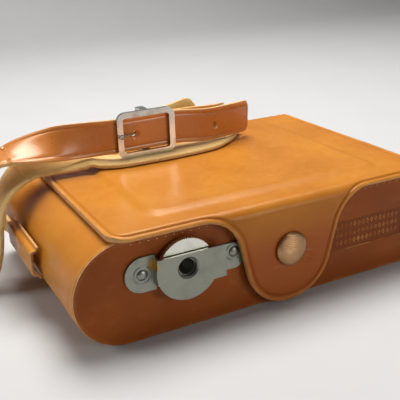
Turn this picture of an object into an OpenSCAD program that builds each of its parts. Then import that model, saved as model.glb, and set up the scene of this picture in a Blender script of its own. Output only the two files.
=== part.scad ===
// Folding roll-film camera closed up in its moulded leather ever-ready case, with its neck strap.
// The case lies on its back. +X runs along the case, -Y comes out of the bottom of the case,
// +Z comes out of its front. The origin is the centre of the back face, which lies on z = 0.

/* [Leather case] */
// Length of the case over its rounded ends
case_l = 178; // [177.5:0.1:179]
// Depth of the case, from its bottom plate to its top
case_d = 108; // [107.8:0.1:108.4]
// Height of the case as it lies on its back
case_h = 42; // [41.9:0.1:42.4]
// Thickness of the case leather
hide_t = 2.4; // [2.2:0.1:2.5]
// Width of the lid flap
lid_l = 148; // [146:0.5:150]
// Length of the raised panel on the lid
panel_l = 107; // [100:1:112]
// Width of the raised panel on the lid
panel_w = 90; // [80:1:92]
// Height of the raised panel above the lid
panel_rise = 1.5; // [1:0.1:2]

/* [Tongue] */
// Radius of the rounded end of the tongue
tongue_r = 20; // [18:0.5:21]
// Slope of the sides of the tongue, in degrees from the lid's edge
tongue_slope = 76; // [72:1:78]
// Radius where the sides of the tongue run into the lid
shoulder_r = 17; // [14:0.5:18]
// Diameter of the snap's cap
snap_d = 14; // [12:0.5:15]

/* [Tripod bracket] */
// Distance of the retaining screw from the middle of the case
screw_x = -45.8; // [-46:0.1:-45.6]
// Height of the retaining screw above the back of the case
screw_z = 27.8; // [27.4:0.1:28]
// Diameter of the knurled retaining wheel
wheel_d = 22.4; // [20:0.2:22.4]
// Bore for a 1/4 inch tripod screw
tripod_d = 6.35; // [6.35]

/* [Strap and buckle] */
// Width of the strap
strap_w = 15.5; // [14.5:0.1:15.6]
// Thickness of the strap
strap_t = 1.7; // [1.4:0.1:1.7]
// Length of the buckle frame
buckle_l = 28; // [27.5:0.5:29]
// Height of the buckle frame
buckle_h = 21; // [21:0.1:21.4]
// Width of the buckle frame's bars
buckle_bar_w = 2.5; // [2.3:0.1:2.5]

/* [Camera] */
// Length of the camera body over its rounded ends
camera_l = 166; // [165:0.2:166.4]
// Thickness of the camera body
camera_h = 32.8; // [32.6:0.1:33]
// Length of a film spool
spool_l = 65.5; // [65.5]
// Diameter of a film spool's flanges
flange_d = 25.2; // [25.2]
// Length of the picture gate
gate_l = 88; // [86:1:88]
// Width of the picture gate
gate_w = 56; // [56]
// Diameter of the shutter
shutter_d = 44; // [40:1:46]
// Number of shutter blades
blade_count = 5; // [3:1:5]

/* [Hidden] */
$fn = 48;

gap = 0.1;          // clearance between pieces that are fastened together
run = 0.06;         // radial clearance of a turning or sliding fit
arc_n = 6;          // straight steps in a small rounded corner

// Case
end_r = case_h / 2;
half_l = case_l / 2;
half_d = case_d / 2;
end_x = half_l - end_r;
lip = 0.8;                          // edge of the band left showing around the bottom plate
plate_in = -half_d + 2;             // inner face of the bottom plate
mouth_x = 66;                       // half the front opening
bulge_rise = 2.4;                   // height of the moulding over the winding knob
field = [23, 14.2, 62, 27.5];       // tooled field on the bottom plate: low x, z, high x, z

// Lid and tongue
lid_z = case_h + 0.2;               // underside of the lid
lid_top = lid_z + hide_t;
tongue_in = -half_d - 1.6;          // inner face of the tongue
tongue_out = tongue_in - hide_t;
fold_r = 2;                         // inner radius of the near fold
fold_y = tongue_in + fold_r;
fold_z = lid_z - fold_r;
edge_z = case_h + 0.8;              // lower edge of the lid beside the tongue
tip_z = 0.8;                        // lowest point of the tongue
lid_far = half_d - 0.6;
top_hinge = [half_d + 1.6, lid_z + hide_t / 2];
back_hinge_at = [half_d + 1.8, 1.3];
roll_r = 1.2;                       // radius of a rolled leather hinge
cover_y = half_d + 0.4;
snap_z = 24;

// Bracket
tab_y = -half_d - 1.05;
tab_t = 1;
tab_r = 7;
tab_x = -62.3;
tab_z = 27.5;
bridge_y = tab_y - 4;
bridge_x0 = screw_x - 12.4;
bridge_x1 = screw_x + 15.8;
bridge_z0 = 20.5;
bridge_z1 = 33.5;
riser_z0 = 23.5;                    // foot of the left riser
right_tab_h = 10.8;                 // height of the tab that carries the right rivet
lobe_r = 12.7;
shank_r = 4.7;
wheel_y = -half_d - 3.4;
wheel_t = 2;
rivet_r = 1.2;
rivets_x = [tab_x - 0.3, -24.5];

// Strap and buckle
strap_on = lid_top + panel_rise + strap_t / 2 + gap;
buckle_x = -27.5;
buckle_z = 58.5;
strap_y = 18.2;                     // middle of the strap that passes through the buckle
buckle_y = strap_y - strap_t / 2 - 0.15 - 0.9;
pin_r = 0.9;
layer = strap_t + 0.15;
pin_y = strap_y + layer / 2 + pin_r + strap_t + 0.35;
loop_r = pin_r + 0.25 + strap_t / 2;
prong_r = 0.7;
prong_reach = [13.3, 8.7];
keeper_y0 = -15;
keeper_y1 = 22;
keeper_z = 22.5;
keeper_h = 11;
flange_h = 1.3;                     // flange beside a keeper, above and below it
keeper_out = 3.8;
keeper_wall = 1.1;
keeper_x = half_l + 0.6 + (keeper_out - keeper_wall - 0.6) / 2;   // middle of a keeper's tunnel
strap_end_w = 6.8;
table_z = strap_t / 2 + gap;

// Camera
cam_z = 20.4;
cam_r = camera_h / 2;
cam_y0 = -half_d + 3;
cam_y1 = cam_y0 + 94;
cam_wall = 1.5;
front_z = cam_z + cam_r;
back_z = cam_z - cam_r;
split_z = 9;                        // joint between the body and its back door
bed_c = -2;                         // middle of the bed and the lens axis, in y
bed_half_l = 51;
bed_half_w = 40;
bed_top = front_z + 3.6;
chamber_x = 51.8;                   // wall between the front chamber and a film chamber
gate_c = -4;
spool_x = 66;
spool_y0 = gate_c - spool_l / 2;
spool_y1 = gate_c + spool_l / 2;
hub_r = 2.6;
film_z = 8.3;
roller_r = 2.6;
roller_x = 55.4;
roller_z = film_z + 0.3 + roller_r;
hinge_at = [79.6, 8.9];
window_at = [20, gate_c];
button_at = [-40, 20];
finder_x = 27;

function arc(c, r, a0, a1, n) =
    [for (i = [0:n]) c + r * [cos(a0 + (a1 - a0) * i / n), sin(a0 + (a1 - a0) * i / n)]];

// Rounded rectangle from corner a to corner b, with radius ra at a's end in y and rb at b's
function rounded(a, b, ra, rb) = concat(
    arc([b[0] - rb, b[1] - rb], rb, 0, 90, arc_n),
    arc([a[0] + rb, b[1] - rb], rb, 90, 180, arc_n),
    arc([a[0] + ra, a[1] + ra], ra, 180, 270, arc_n),
    arc([b[0] - ra, a[1] + ra], ra, 270, 360, arc_n));

module along_x(x0, x1) translate([x0, 0, 0]) rotate([90, 0, 90]) linear_extrude(x1 - x0) children();
module along_y(y0, y1) translate([0, y1, 0]) rotate([90, 0, 0]) linear_extrude(y1 - y0) children();
module along_z(z0, z1) translate([0, 0, z0]) linear_extrude(z1 - z0) children();
module block(a, b) translate(a) cube(b - a);
module rod_x(y, z, r, x0, x1) translate([x0, y, z]) rotate([0, 90, 0]) cylinder(r = r, h = x1 - x0);
module rod_y(x, z, r, y0, y1) translate([x, y1, z]) rotate([90, 0, 0]) cylinder(r = r, h = y1 - y0);
module rod_z(x, y, r, z0, z1) translate([x, y, z0]) cylinder(r = r, h = z1 - z0);

module stadium(l, h) {
    square([l - h, h], center = true);
    for (s = [-1, 1])
        translate([s * (l - h) / 2, 0]) circle(d = h);
}

// The end profile of the case, drawn in by a margin
module case_profile(inset) translate([0, end_r]) stadium(case_l - 2 * inset, case_h - 2 * inset);
module camera_profile(inset) translate([0, cam_z]) stadium(camera_l - 2 * inset, camera_h - 2 * inset);

// ---------------------------------------------------------------- ribbons

// A strap is a list of stations [centre, direction of its width, width], joined by a smooth curve
function spline(a, b, c, d, t) = 0.5 * (2 * b + (c - a) * t
    + (2 * a - 5 * b + 4 * c - d) * t * t + (3 * b - a - 3 * c + d) * t * t * t);
function station(s, i) = s[max(0, min(len(s) - 1, i))];
function smooth(s, steps) = concat(
    [for (i = [0:len(s) - 2], k = [0:steps - 1])
        [for (part = [0:2]) spline(station(s, i - 1)[part], s[i][part], s[i + 1][part],
            station(s, i + 2)[part], k / steps)]],
    [s[len(s) - 1]]);
function unit(v) = v / norm(v);

module ribbon(stations, steps, t) {
    p = smooth(stations, steps);
    n = len(p);
    points = [for (i = [0:n - 1])
        let (along = unit(station(p, i + 1)[0] - station(p, i - 1)[0]),
            wide = unit(p[i][1] - along * (along * p[i][1])) * p[i][2] / 2,
            thick = unit(cross(along, wide)) * t / 2)
        each [p[i][0] + wide + thick, p[i][0] - wide + thick,
            p[i][0] - wide - thick, p[i][0] + wide - thick]];
    sides = [for (i = [0:n - 2], k = [0:3])
        let (a = 4 * i + k, b = 4 * i + (k + 1) % 4)
        each [[a, a + 4, b], [b, a + 4, b + 4]]];
    ends = [[0, 1, 2], [0, 2, 3],
        [4 * n - 4, 4 * n - 2, 4 * n - 3], [4 * n - 4, 4 * n - 1, 4 * n - 2]];
    polyhedron(points, concat(sides, ends));
}

// ---------------------------------------------------------------- leather case

// Moulding over the winding knob, a raised part of the left end
module knob_bulge() {
    translate([-end_x, 0, end_r]) rotate([90, 0, 0]) rotate([0, 0, 108])
        rotate_extrude(angle = 52)
            polygon([[end_r - 1, -half_d], [end_r + bulge_rise, -half_d],
                [end_r + bulge_rise, -34], [end_r - 1, -20]]);
}

module case_shell() {
    color("peru") difference() {
        union() {
            along_y(-half_d, half_d) case_profile(0);
            knob_bulge();
        }
        along_y(-half_d - 1, half_d + 1) case_profile(hide_t);
        along_y(-half_d - 1, plate_in + gap) case_profile(lip);
        block([-mouth_x, -half_d - 1, end_r], [mouth_x, half_d + 1, case_h + 1]);
    }
}

module bottom_plate() {
    color("sienna") difference() {
        along_y(-half_d, plate_in) case_profile(lip + gap);
        rod_y(screw_x, screw_z, shank_r + 0.4, -half_d - 1, plate_in + 1);
        for (x = rivets_x)
            rod_y(x, tab_z, rivet_r + run, -half_d - 1, plate_in + 1);
        rod_y(0, snap_z, rivet_r + run, -half_d - 1, plate_in + 1);
        block([field[0], -half_d - 1, field[1]], [field[2], -half_d + 0.3, field[3]]);
    }
}

// Closes the far end of the band on each side of the top cover
module corner_panels() {
    color("peru") for (s = [0, 1]) mirror([s, 0, 0])
        along_y(half_d - hide_t, half_d) intersection() {
            case_profile(hide_t + gap);
            translate([mouth_x - 6, 0]) square([half_l, case_h]);
        }
}

module back_hinge() {
    color("peru") {
        rod_x(back_hinge_at[0], back_hinge_at[1], roll_r, -72, 72);
        block([-72, half_d + gap, 0.1], [72, back_hinge_at[0], 2]);
    }
}

module case_lining() {
    color("saddlebrown") along_z(hide_t + 0.05, hide_t + 0.6)
        polygon(rounded([-mouth_x, plate_in + gap], [mouth_x, half_d - hide_t - 1], 3, 3));
}

// A loop of leather on the end of the case, open along y, with a stitched flange on each side
module keeper() {
    color("peru") difference() {
        union() {
            block([half_l + 0.05, keeper_y0, keeper_z - keeper_h / 2],
                [half_l + keeper_out, keeper_y1, keeper_z + keeper_h / 2]);
            block([half_l + 0.05, keeper_y0, keeper_z - keeper_h / 2 - flange_h],
                [half_l + keeper_wall, keeper_y1, keeper_z + keeper_h / 2 + flange_h]);
        }
        block([half_l + 0.6, keeper_y0 - 1, keeper_z - keeper_h / 2 + keeper_wall * 1.7],
            [half_l + keeper_out - keeper_wall, keeper_y1 + 1,
                keeper_z + keeper_h / 2 - keeper_wall * 1.7]);
    }
}

module left_keeper() mirror([1, 0, 0]) keeper();
module right_keeper() keeper();

module top_cover() {
    color("peru") {
        along_y(cover_y, cover_y + hide_t)
            polygon(rounded([-72, back_hinge_at[1] + 1.7], [72, lid_z - 1], 9, 0.5));
        rod_x(top_hinge[0], top_hinge[1], roll_r, -72, 72);
        block([-72, top_hinge[0] - 0.6, lid_z - 1.5], [72, top_hinge[0] + 0.6, lid_z]);
    }
}

// ---------------------------------------------------------------- lid

// The tongue below the lid's edge: a round end, two straight sides and two round shoulders
function tongue_side() =
    let (s = tongue_slope, c = [0, tip_z + tongue_r],
        reach = tongue_r - cos(s) * c[1] + shoulder_r,
        shoulder_z = edge_z - shoulder_r,
        shoulder = [(reach + cos(s) * shoulder_z) / sin(s), shoulder_z])
    concat(arc(c, tongue_r, -90, -(90 - s), 12), arc(shoulder, shoulder_r, 90 + s, 90, 12));

module tongue_outline() {
    side = tongue_side();
    shoulder = side[len(side) - 1];
    polygon(concat([[-shoulder[0], edge_z + 1]],
        [for (i = [len(side) - 1:-1:0]) [-side[i][0], side[i][1]]],
        [for (i = [1:len(side) - 1]) side[i]], [[shoulder[0], edge_z + 1]]));
}

// Section of the lid: the front panel, the near fold and the tongue
module lid_section() {
    polygon(concat(
        [[lid_far, lid_z], [lid_far, lid_top]],
        arc([fold_y, fold_z], fold_r + hide_t, 90, 180, 10),
        [[tongue_out, 0], [tongue_in, 0]],
        arc([fold_y, fold_z], fold_r, 180, 90, 8)));
}

module panel_block(inset, z0, z1)
    along_z(z0, z1) polygon(rounded([inset - panel_l / 2, inset - panel_w / 2],
        [panel_l / 2 - inset, panel_w / 2 - inset], 5 - inset, 5 - inset));

module lid_flap() {
    color("sandybrown") difference() {
        union() {
            intersection() {
                along_x(-lid_l / 2, lid_l / 2) lid_section();
                union() {
                    along_z(edge_z, lid_top + 1)
                        polygon(rounded([-lid_l / 2, tongue_out - 1], [lid_l / 2, half_d], 8, 0.5));
                    along_y(tongue_out - 1, tongue_in + 1) tongue_outline();
                }
            }
            panel_block(0, lid_z, lid_top + panel_rise);
        }
        panel_block(hide_t, lid_z - 1, lid_z + panel_rise);
        rod_y(0, snap_z, 3.4, tongue_out - 1, tongue_in + 1);
    }
}

module lid_lining() {
    color("tan") along_z(lid_z - 0.9, lid_z - gap)
        polygon(rounded([-mouth_x + 2, fold_y + 3], [mouth_x - 2, half_d - 2], 3, 3));
}

module snap_cap() {
    color("rosybrown") {
        translate([0, tongue_out - 0.02, snap_z]) rotate([90, 0, 0])
            rotate_extrude()
                polygon(concat([[0, 0], [snap_d / 2 - 0.4, 0]],
                    arc([snap_d / 2 - 0.8, 0.8], 0.8, -60, 30, 4),
                    [for (i = [1:6]) [snap_d / 2 * cos(15 * i), 1.2 + 1.3 * sin(15 * i)]]));
        rod_y(0, snap_z, 1.5, tongue_out - 0.1, tongue_out + 0.75);
    }
}

module snap_socket() {
    color("silver") difference() {
        union() {
            rod_y(0, snap_z, 3.3, tongue_out + 0.8, tongue_in + 0.1);
            rod_y(0, snap_z, 5, tongue_in + 0.05, tongue_in + 0.45);
        }
        rod_y(0, snap_z, 2.4, tongue_out + 1.2, tongue_in + 1);
    }
}

module snap_stud() {
    color("silver") {
        rod_y(0, snap_z, 5, -half_d - 0.45, -half_d - 0.05);
        rod_y(0, snap_z, 1.9, -half_d - 1.5, -half_d - 0.4);
        rod_y(0, snap_z, 2.25, -half_d - 2.4, -half_d - 1.4);
        rod_y(0, snap_z, rivet_r, -half_d - 0.1, plate_in + 0.4);
        rod_y(0, snap_z, 2.4, plate_in + 0.05, plate_in + 0.45);
    }
}

// ---------------------------------------------------------------- tripod bracket and retaining screw

module bracket() {
    color("lightslategray") difference() {
        union() {
            along_y(tab_y, tab_y + tab_t) {
                translate([tab_x, tab_z]) circle(r = tab_r);
                translate([tab_x, tab_z - tab_r]) square([bridge_x0 - tab_x + 1, 2 * tab_r]);
                translate([bridge_x1 - 1, bridge_z0])
                    square([rivets_x[1] - bridge_x1 + 1, right_tab_h]);
                translate([rivets_x[1], bridge_z0 + right_tab_h / 2]) circle(r = right_tab_h / 2);
            }
            along_y(bridge_y, bridge_y + tab_t) {
                intersection() {
                    translate([screw_x, screw_z]) circle(r = lobe_r);
                    translate([-100, 0]) square([100, bridge_z1]);
                }
                translate([bridge_x0, riser_z0])
                    square([screw_x - bridge_x0, bridge_z1 - riser_z0]);
                translate([screw_x, bridge_z0])
                    square([bridge_x1 - screw_x, bridge_z1 - bridge_z0]);
            }
            block([bridge_x0, bridge_y, riser_z0],
                [bridge_x0 + tab_t, tab_y + tab_t, bridge_z1]);
            block([bridge_x1 - tab_t, bridge_y, bridge_z0],
                [bridge_x1, tab_y + tab_t, bridge_z0 + right_tab_h]);
        }
        rod_y(screw_x, screw_z, tripod_d / 2 + 0.5, bridge_y - 1, bridge_y + 2);
        translate([screw_x, bridge_y + 0.7, screw_z]) rotate([90, 0, 0])
            cylinder(r1 = tripod_d / 2 + 0.4, r2 = tripod_d / 2 + 2, h = 1.4);
        for (x = rivets_x)
            rod_y(x, tab_z, rivet_r + run, tab_y - 1, tab_y + 2);
    }
}

module bracket_rivets() {
    color("silver") for (x = rivets_x) {
        rod_y(x, tab_z, 2.5, tab_y - 0.4, tab_y - 0.02);
        rod_y(x, tab_z, rivet_r, tab_y - 0.1, plate_in + 0.4);
        rod_y(x, tab_z, 2.4, plate_in + 0.05, plate_in + 0.45);
    }
}

module knurled(r, depth, teeth)
    polygon([for (i = [0:2 * teeth - 1]) (r - (i % 2) * depth) * [cos(180 * i / teeth), sin(180 * i / teeth)]]);

module retaining_wheel() {
    color("silver") difference() {
        along_y(wheel_y, wheel_y + wheel_t)
            translate([screw_x, screw_z]) knurled(wheel_d / 2, 0.3, 80);
        rod_y(screw_x, screw_z, shank_r + 0.02, wheel_y - 1, wheel_y + wheel_t + 1);
    }
}

module retaining_screw() {
    color("silver") difference() {
        rod_y(screw_x, screw_z, shank_r, wheel_y, cam_y0 + 4.4);
        rod_y(screw_x, screw_z, tripod_d / 2, wheel_y - 1, cam_y0 + 1.4);
    }
}

module screw_washer() {
    color("gray") difference() {
        rod_y(screw_x, screw_z, 6.6, plate_in + 0.1, plate_in + 0.7);
        rod_y(screw_x, screw_z, shank_r + 0.05, plate_in - 1, plate_in + 2);
    }
}

// ---------------------------------------------------------------- strap and buckle

up = [0, 0, 1];
down = [0, 0, -1];
back = [0, 1, 0];

// The holed strap runs from the left keeper over the end of the case and through the buckle
holed_lid = [
    [[-73, 20.7, 58.6], [0.05, 0.85, 0.9], strap_w],
    [[-64, 20, 58.9], [0, 0.35, 1], strap_w],
    [[-52, 19.2, 58.6], [0, 0.1, 1], strap_w],
    [[-42, strap_y, buckle_z], up, strap_w],
    [[-27, strap_y, buckle_z], up, strap_w],
    [[-12, strap_y, buckle_z], up, strap_w],
    [[4, 19, 56.8], up, strap_w],
    [[20, 21.5, 56.6], up, strap_w],
    [[31, 25.5, 56.2], up, strap_w]];
holed_slack = [
    [[-keeper_x, -8, keeper_z], up, strap_end_w],
    [[-keeper_x, 8, keeper_z], up, strap_end_w],
    [[-keeper_x, 24, keeper_z], up, strap_end_w],
    [[-keeper_x, 29, keeper_z], up, strap_end_w],
    [[-92.5, 42, 21.5], up, 11],
    [[-98, 51.5, 25], up, strap_w],
    [[-107, 53, 31], [0.2, -0.3, 1], strap_w],
    [[-113.5, 45, 38], [0.6, -0.2, 1], strap_w],
    [[-113, 34, 45], [0.8, 0.3, 1], strap_w],
    [[-105, 25.5, 52], [0.4, 0.9, 0.5], strap_w],
    [[-94, 21.5, 56], [0, 1, 0.1], strap_w],
    [[-84, 21.2, 57.8], [0, 1, 0.45], strap_w],
    [[-75, 20.8, 58.5], [0.05, 0.95, 0.8], strap_w]];

// The buckled strap is folded round the buckle's pin, turns over beyond the holed strap's end
// and comes back flat on the lid
loop_in = pin_y + loop_r;
loop_out = pin_y - loop_r;
buckled_lid = concat(
    [[[2, loop_in, buckle_z + 4.5], up, strap_w],
        [[-8, loop_in, buckle_z + 2.3], up, strap_w],
        [[-16, loop_in, buckle_z + 0.5], up, strap_w],
        [[-20, loop_in, buckle_z], up, strap_w]],
    [for (a = [60:40:300])
        [[buckle_x + loop_r * cos(a), pin_y + loop_r * sin(a), buckle_z], up, strap_w]],
    [[[-18, loop_out, buckle_z], up, strap_w],
        [[-5, loop_out + 0.4, buckle_z - 0.2], up, strap_w],
        [[6, 22.7, 57.2], up, strap_w],
        [[14, 26, 56.3], up, strap_w],
        [[20, 30.5, 55], [0, 0.15, 1], strap_w],
        [[25, 35, 52], [0, 0.8, 1], strap_w],
        [[25.5, 34.8, 49.4], [0, 1, 0.35], strap_w],
        [[20, 30.5, 47.5], [0, 1, 0.02], strap_w],
        [[11, 23, strap_on + 0.2], back, strap_w],
        [[2, 18.8, strap_on], back, strap_w],
        [[-16, 17, strap_on], back, strap_w],
        [[-30, 17, strap_on + 0.08], back, strap_w],
        [[-41, 17.6, strap_on + 0.04], back, strap_w],
        [[-49, 19.4, 48.3], [0, 1, 0.15], strap_w],
        [[-55, 21.5, 50.4], [0, 1, 0.42], strap_w],
        [[-66, 22, 51], [0, 1, 0.6], strap_w],
        [[-73.6, 22.5, 51.3], [0, 1, 0.63], strap_w]]);
buckled_slack = [
    [[-75.2, 22.5, 51.2], [0, 1, 0.62], strap_w],
    [[-80, 22.2, 50.4], [0, 1, 0.52], strap_w],
    [[-87, 20.6, 47], [0, 1, 0.3], strap_w],
    [[-93.3, 18.6, 41], [0, 1, 0.1], strap_w],
    [[-97, 17.6, 30.5], back, strap_w],
    [[-99.5, 17, 17], back, strap_w],
    [[-105, 19, 5.5], back, strap_w],
    [[-116, 27, 1.8], [0.4, 1, 0], strap_w],
    [[-127, 42, table_z], [1, 0.4, 0], strap_w],
    [[-127, 66, table_z], [1, -0.2, 0], strap_w],
    [[-113, 88, table_z], [0.8, -0.7, 0], strap_w],
    [[-85, 100, table_z], [0.3, -1, 0], strap_w],
    [[-40, 104, table_z], back * -1, strap_w],
    [[40, 104, table_z], back * -1, strap_w],
    [[85, 98, table_z], [-0.3, -1, 0], strap_w],
    [[110, 82, table_z], [-0.8, -0.6, 0], strap_w],
    [[117, 62, 2.6], [-1, 0, -0.1], strap_w],
    [[110, 46, 9], [-1, 0.2, -0.8], 14],
    [[98, 38, 17], [-0.4, 0, -1], 11],
    [[keeper_x, 30, keeper_z], down, strap_end_w],
    [[keeper_x, 25, keeper_z], down, strap_end_w],
    [[keeper_x, 16, keeper_z], down, strap_end_w],
    [[keeper_x, 4, keeper_z], down, strap_end_w],
    [[keeper_x, -8, keeper_z], down, strap_end_w]];

// Window that lets the buckle's prong through a layer of strap
module prong_slot(x0, x1, y0, y1)
    block([buckle_x - x0, y0, buckle_z - prong_r - 0.9], [buckle_x + x1, y1, buckle_z + prong_r + 0.9]);

module strap_holed() {
    color("chocolate") difference() {
        ribbon(holed_lid, 3, strap_t);
        prong_slot(8.6, -2, strap_y - 3, strap_y + 1.2);
        rod_y(8, 57.2, 1, 15, 25);
    }
}

module strap_holed_slack() color("chocolate") ribbon(holed_slack, 3, strap_t);

module strap_buckled() {
    color("burlywood") difference() {
        ribbon(buckled_lid, 2, strap_t);
        prong_slot(4, 2.6, strap_y + 0.9, pin_y + 4);
    }
}

module strap_buckled_slack() color("burlywood") ribbon(buckled_slack, 2, strap_t);

module buckle_frame() {
    lug_z = buckle_h / 2 - buckle_bar_w;
    half = [buckle_l / 2, buckle_h / 2];
    bar = [buckle_bar_w + 0.2, buckle_bar_w];
    color("darkgray") difference() {
        translate([buckle_x, 0, buckle_z]) {
            difference() {
                along_y(buckle_y - 0.9, buckle_y + 0.9) polygon(rounded(-half, half, 4, 4));
                along_y(buckle_y - 2, buckle_y + 2) polygon(rounded(bar - half, half - bar, 1.4, 1.4));
            }
            for (s = [0, 1]) mirror([0, 0, s])
                block([-1.8, buckle_y, lug_z], [1.8, pin_y + 1.6, buckle_h / 2]);
        }
        rod_z(buckle_x, pin_y, pin_r + 0.02, buckle_z - buckle_h, buckle_z + buckle_h);
    }
}

module buckle_pin() color("gray")
    rod_z(buckle_x, pin_y, pin_r, buckle_z - buckle_h / 2 + 0.2, buckle_z + buckle_h / 2 - 0.2);

module buckle_prong() {
    lean = atan(prong_reach[1] / prong_reach[0]);
    color("silver") translate([buckle_x, pin_y, buckle_z]) difference() {
        union() {
            translate([0, 0, -1.4]) cylinder(r = pin_r + 0.75, h = 2.8);
            rotate([0, 0, lean]) rotate([0, -90, 0]) cylinder(r = prong_r, h = norm(prong_reach));
        }
        translate([0, 0, -3]) cylinder(r = pin_r + run, h = 6);
    }
}

// ---------------------------------------------------------------- camera body

module camera_body() {
    color("dimgray") difference() {
        union() {
            difference() {
                along_y(cam_y0, cam_y1) camera_profile(0);
                along_y(cam_y0 + cam_wall, cam_y1 - cam_wall) camera_profile(cam_wall);
            }
            for (s = [-1, 1])
                block([s * chamber_x - 0.75, cam_y0 + 1, split_z], [s * chamber_x + 0.75, cam_y1 - 1, front_z - 1]);
            block([-chamber_x, cam_y0 + 1, split_z], [chamber_x, cam_y1 - 1, split_z + 1.2]);
            for (y = [bed_c - bed_half_w - 2.4, bed_c + bed_half_w + 0.4])
                block([bed_half_l - 4, y, front_z - 3.8], [bed_half_l, y + 2, front_z - 1]);
            for (y = [cam_y0 + 10, cam_y1 - 26])
                rod_y(hinge_at[0], hinge_at[1], 1.8, y, y + 16);
        }
        block([-camera_l, cam_y0 - 1, -1], [hinge_at[0] - 2.2, cam_y1 + 1, split_z]);
        block([hinge_at[0] - 3, cam_y0 - 1, -1], [camera_l, cam_y0 + 10, split_z]);
        block([hinge_at[0] - 3, cam_y0 + 26, -1], [camera_l, cam_y1 - 26, split_z + 1.95]);
        block([hinge_at[0] - 3, cam_y1 - 10, -1], [camera_l, cam_y1 + 1, split_z]);
        along_z(front_z - 2.6, front_z + 1)
            polygon(rounded([-bed_half_l - 0.3, bed_c - bed_half_w - 0.3],
                [bed_half_l + 0.3, bed_c + bed_half_w + 0.3], 3, 3));
        along_z(split_z - 1, split_z + 3) translate([0, gate_c]) square([gate_l, gate_w], center = true);
        for (s = [-1, 1])
            block([s * roller_x - roller_r - 1, spool_y0, split_z - 1],
                [s * roller_x + roller_r + 1, spool_y1, split_z + 2]);
        rod_y(hinge_at[0], hinge_at[1], 0.9 + run, cam_y0 - 1, cam_y1 + 1);
        rod_y(bed_half_l - 2, front_z - 2, 0.9 + 0.02, cam_y0 + 3, cam_y1 - 2);
        rod_y(screw_x, screw_z, 5.95, cam_y0 - 1, cam_y0 + 6);
        rod_y(-spool_x, cam_z, 3 + run, cam_y1 - 3, cam_y1 + 1);
        rod_y(button_at[0], button_at[1], 2.5 + run, cam_y1 - 3, cam_y1 + 1);
    }
}

module back_door() {
    color("dimgray") difference() {
        union() {
            intersection() {
                difference() {
                    along_y(cam_y0, cam_y1) camera_profile(0);
                    along_y(cam_y0 + cam_wall, cam_y1 - cam_wall) camera_profile(cam_wall);
                }
                block([-camera_l, cam_y0, 0], [hinge_at[0] - 2.4, cam_y1, split_z - gap]);
            }
            difference() {
                union() {
                    rod_y(hinge_at[0], hinge_at[1], 1.8, cam_y0 + 26.2, cam_y1 - 26.2);
                    block([hinge_at[0] - 4, cam_y0 + 26.2, hinge_at[1] - 2.4],
                        [hinge_at[0] - 0.6, cam_y1 - 26.2, hinge_at[1]]);
                }
                along_y(cam_y0, cam_y1) camera_profile(cam_wall);
            }
        }
        rod_y(hinge_at[0], hinge_at[1], 0.9 + run, cam_y0 - 1, cam_y1 + 1);
        rod_z(window_at[0], window_at[1], 4.5, 0, split_z);
    }
}

module back_hinge_pin() color("silver") rod_y(hinge_at[0], hinge_at[1], 0.9, cam_y0 + 8, cam_y1 - 8);

module tripod_bush() {
    color("silver") difference() {
        rod_y(screw_x, screw_z, 5.9, cam_y0, cam_y0 + 5.5);
        rod_y(screw_x, screw_z, shank_r + run, cam_y0 - 1, cam_y0 + 4.5);
    }
}

// ---------------------------------------------------------------- bed, bellows and shutter

module bed_door() {
    a = [-bed_half_l, bed_c - bed_half_w];
    b = [bed_half_l, bed_c + bed_half_w];
    t = [1.2, 1.2];
    color("black") difference() {
        along_z(front_z - 4, bed_top) polygon(rounded(a, b, 3, 3));
        along_z(front_z - 5, bed_top - 1.2) polygon(rounded(a + t, b - t, 2, 2));
        block([bed_half_l - 4.5, a[1] - 1, front_z - 5], [bed_half_l + 1, b[1] + 1, front_z - 3.2]);
        rod_y(bed_half_l - 2, front_z - 2, 0.9 + run, a[1] - 1, b[1] + 1);
    }
}

module bed_hinge_pin() color("silver")
    rod_y(bed_half_l - 2, front_z - 2, 0.9, bed_c - bed_half_w - 2.2, bed_c + bed_half_w + 2.2);

// Each side has two struts that fold flat beside the bellows
module bed_struts() {
    color("silver") for (y = [bed_c - bed_half_w + 3, bed_c + bed_half_w - 4.2]) {
        block([-40, y, 27], [24, y + 1.2, 32]);
        block([-6, y, 20], [44, y + 1.2, 26]);
    }
}

module bellows() {
    folds = 4;
    pitch = 2.1;
    color("black") difference() {
        for (i = [0:folds - 1]) {
            inset = i * 3;
            z = split_z + 1.3 + i * pitch;
            along_z(z, z + pitch / 2) translate([0, gate_c])
                square([gate_l + 7 - 2 * inset, gate_w + 7 - inset], center = true);
            along_z(z + pitch / 2, z + pitch) translate([0, gate_c])
                square([gate_l + 3 - 2 * inset, gate_w + 3 - inset], center = true);
        }
        along_z(split_z, split_z + 12) translate([0, gate_c]) square([64, 44], center = true);
    }
}

module ring_z(r0, r1, z0, z1) difference() {
    rod_z(0, bed_c, r1, z0, z1);
    rod_z(0, bed_c, r0, z0 - 1, z1 + 1);
}

board_z = split_z + 9.9;
shutter_z = board_z + 1.3;

module lens_board() {
    color("dimgray") difference() {
        along_z(board_z, board_z + 1.2) polygon(rounded([-35, bed_c - 27], [35, bed_c + 27], 4, 4));
        rod_z(0, bed_c, 14, board_z - 1, board_z + 2);
    }
}

module shutter_case() {
    color("darkgray") difference() {
        rod_z(0, bed_c, shutter_d / 2, shutter_z, shutter_z + 10.4);
        rod_z(0, bed_c, 9, shutter_z - 1, shutter_z + 12);
        rod_z(0, bed_c, 18, shutter_z + 3, shutter_z + 7);
        rod_z(0, bed_c, 9.6, shutter_z - 1, shutter_z + 2);
    }
}

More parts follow.
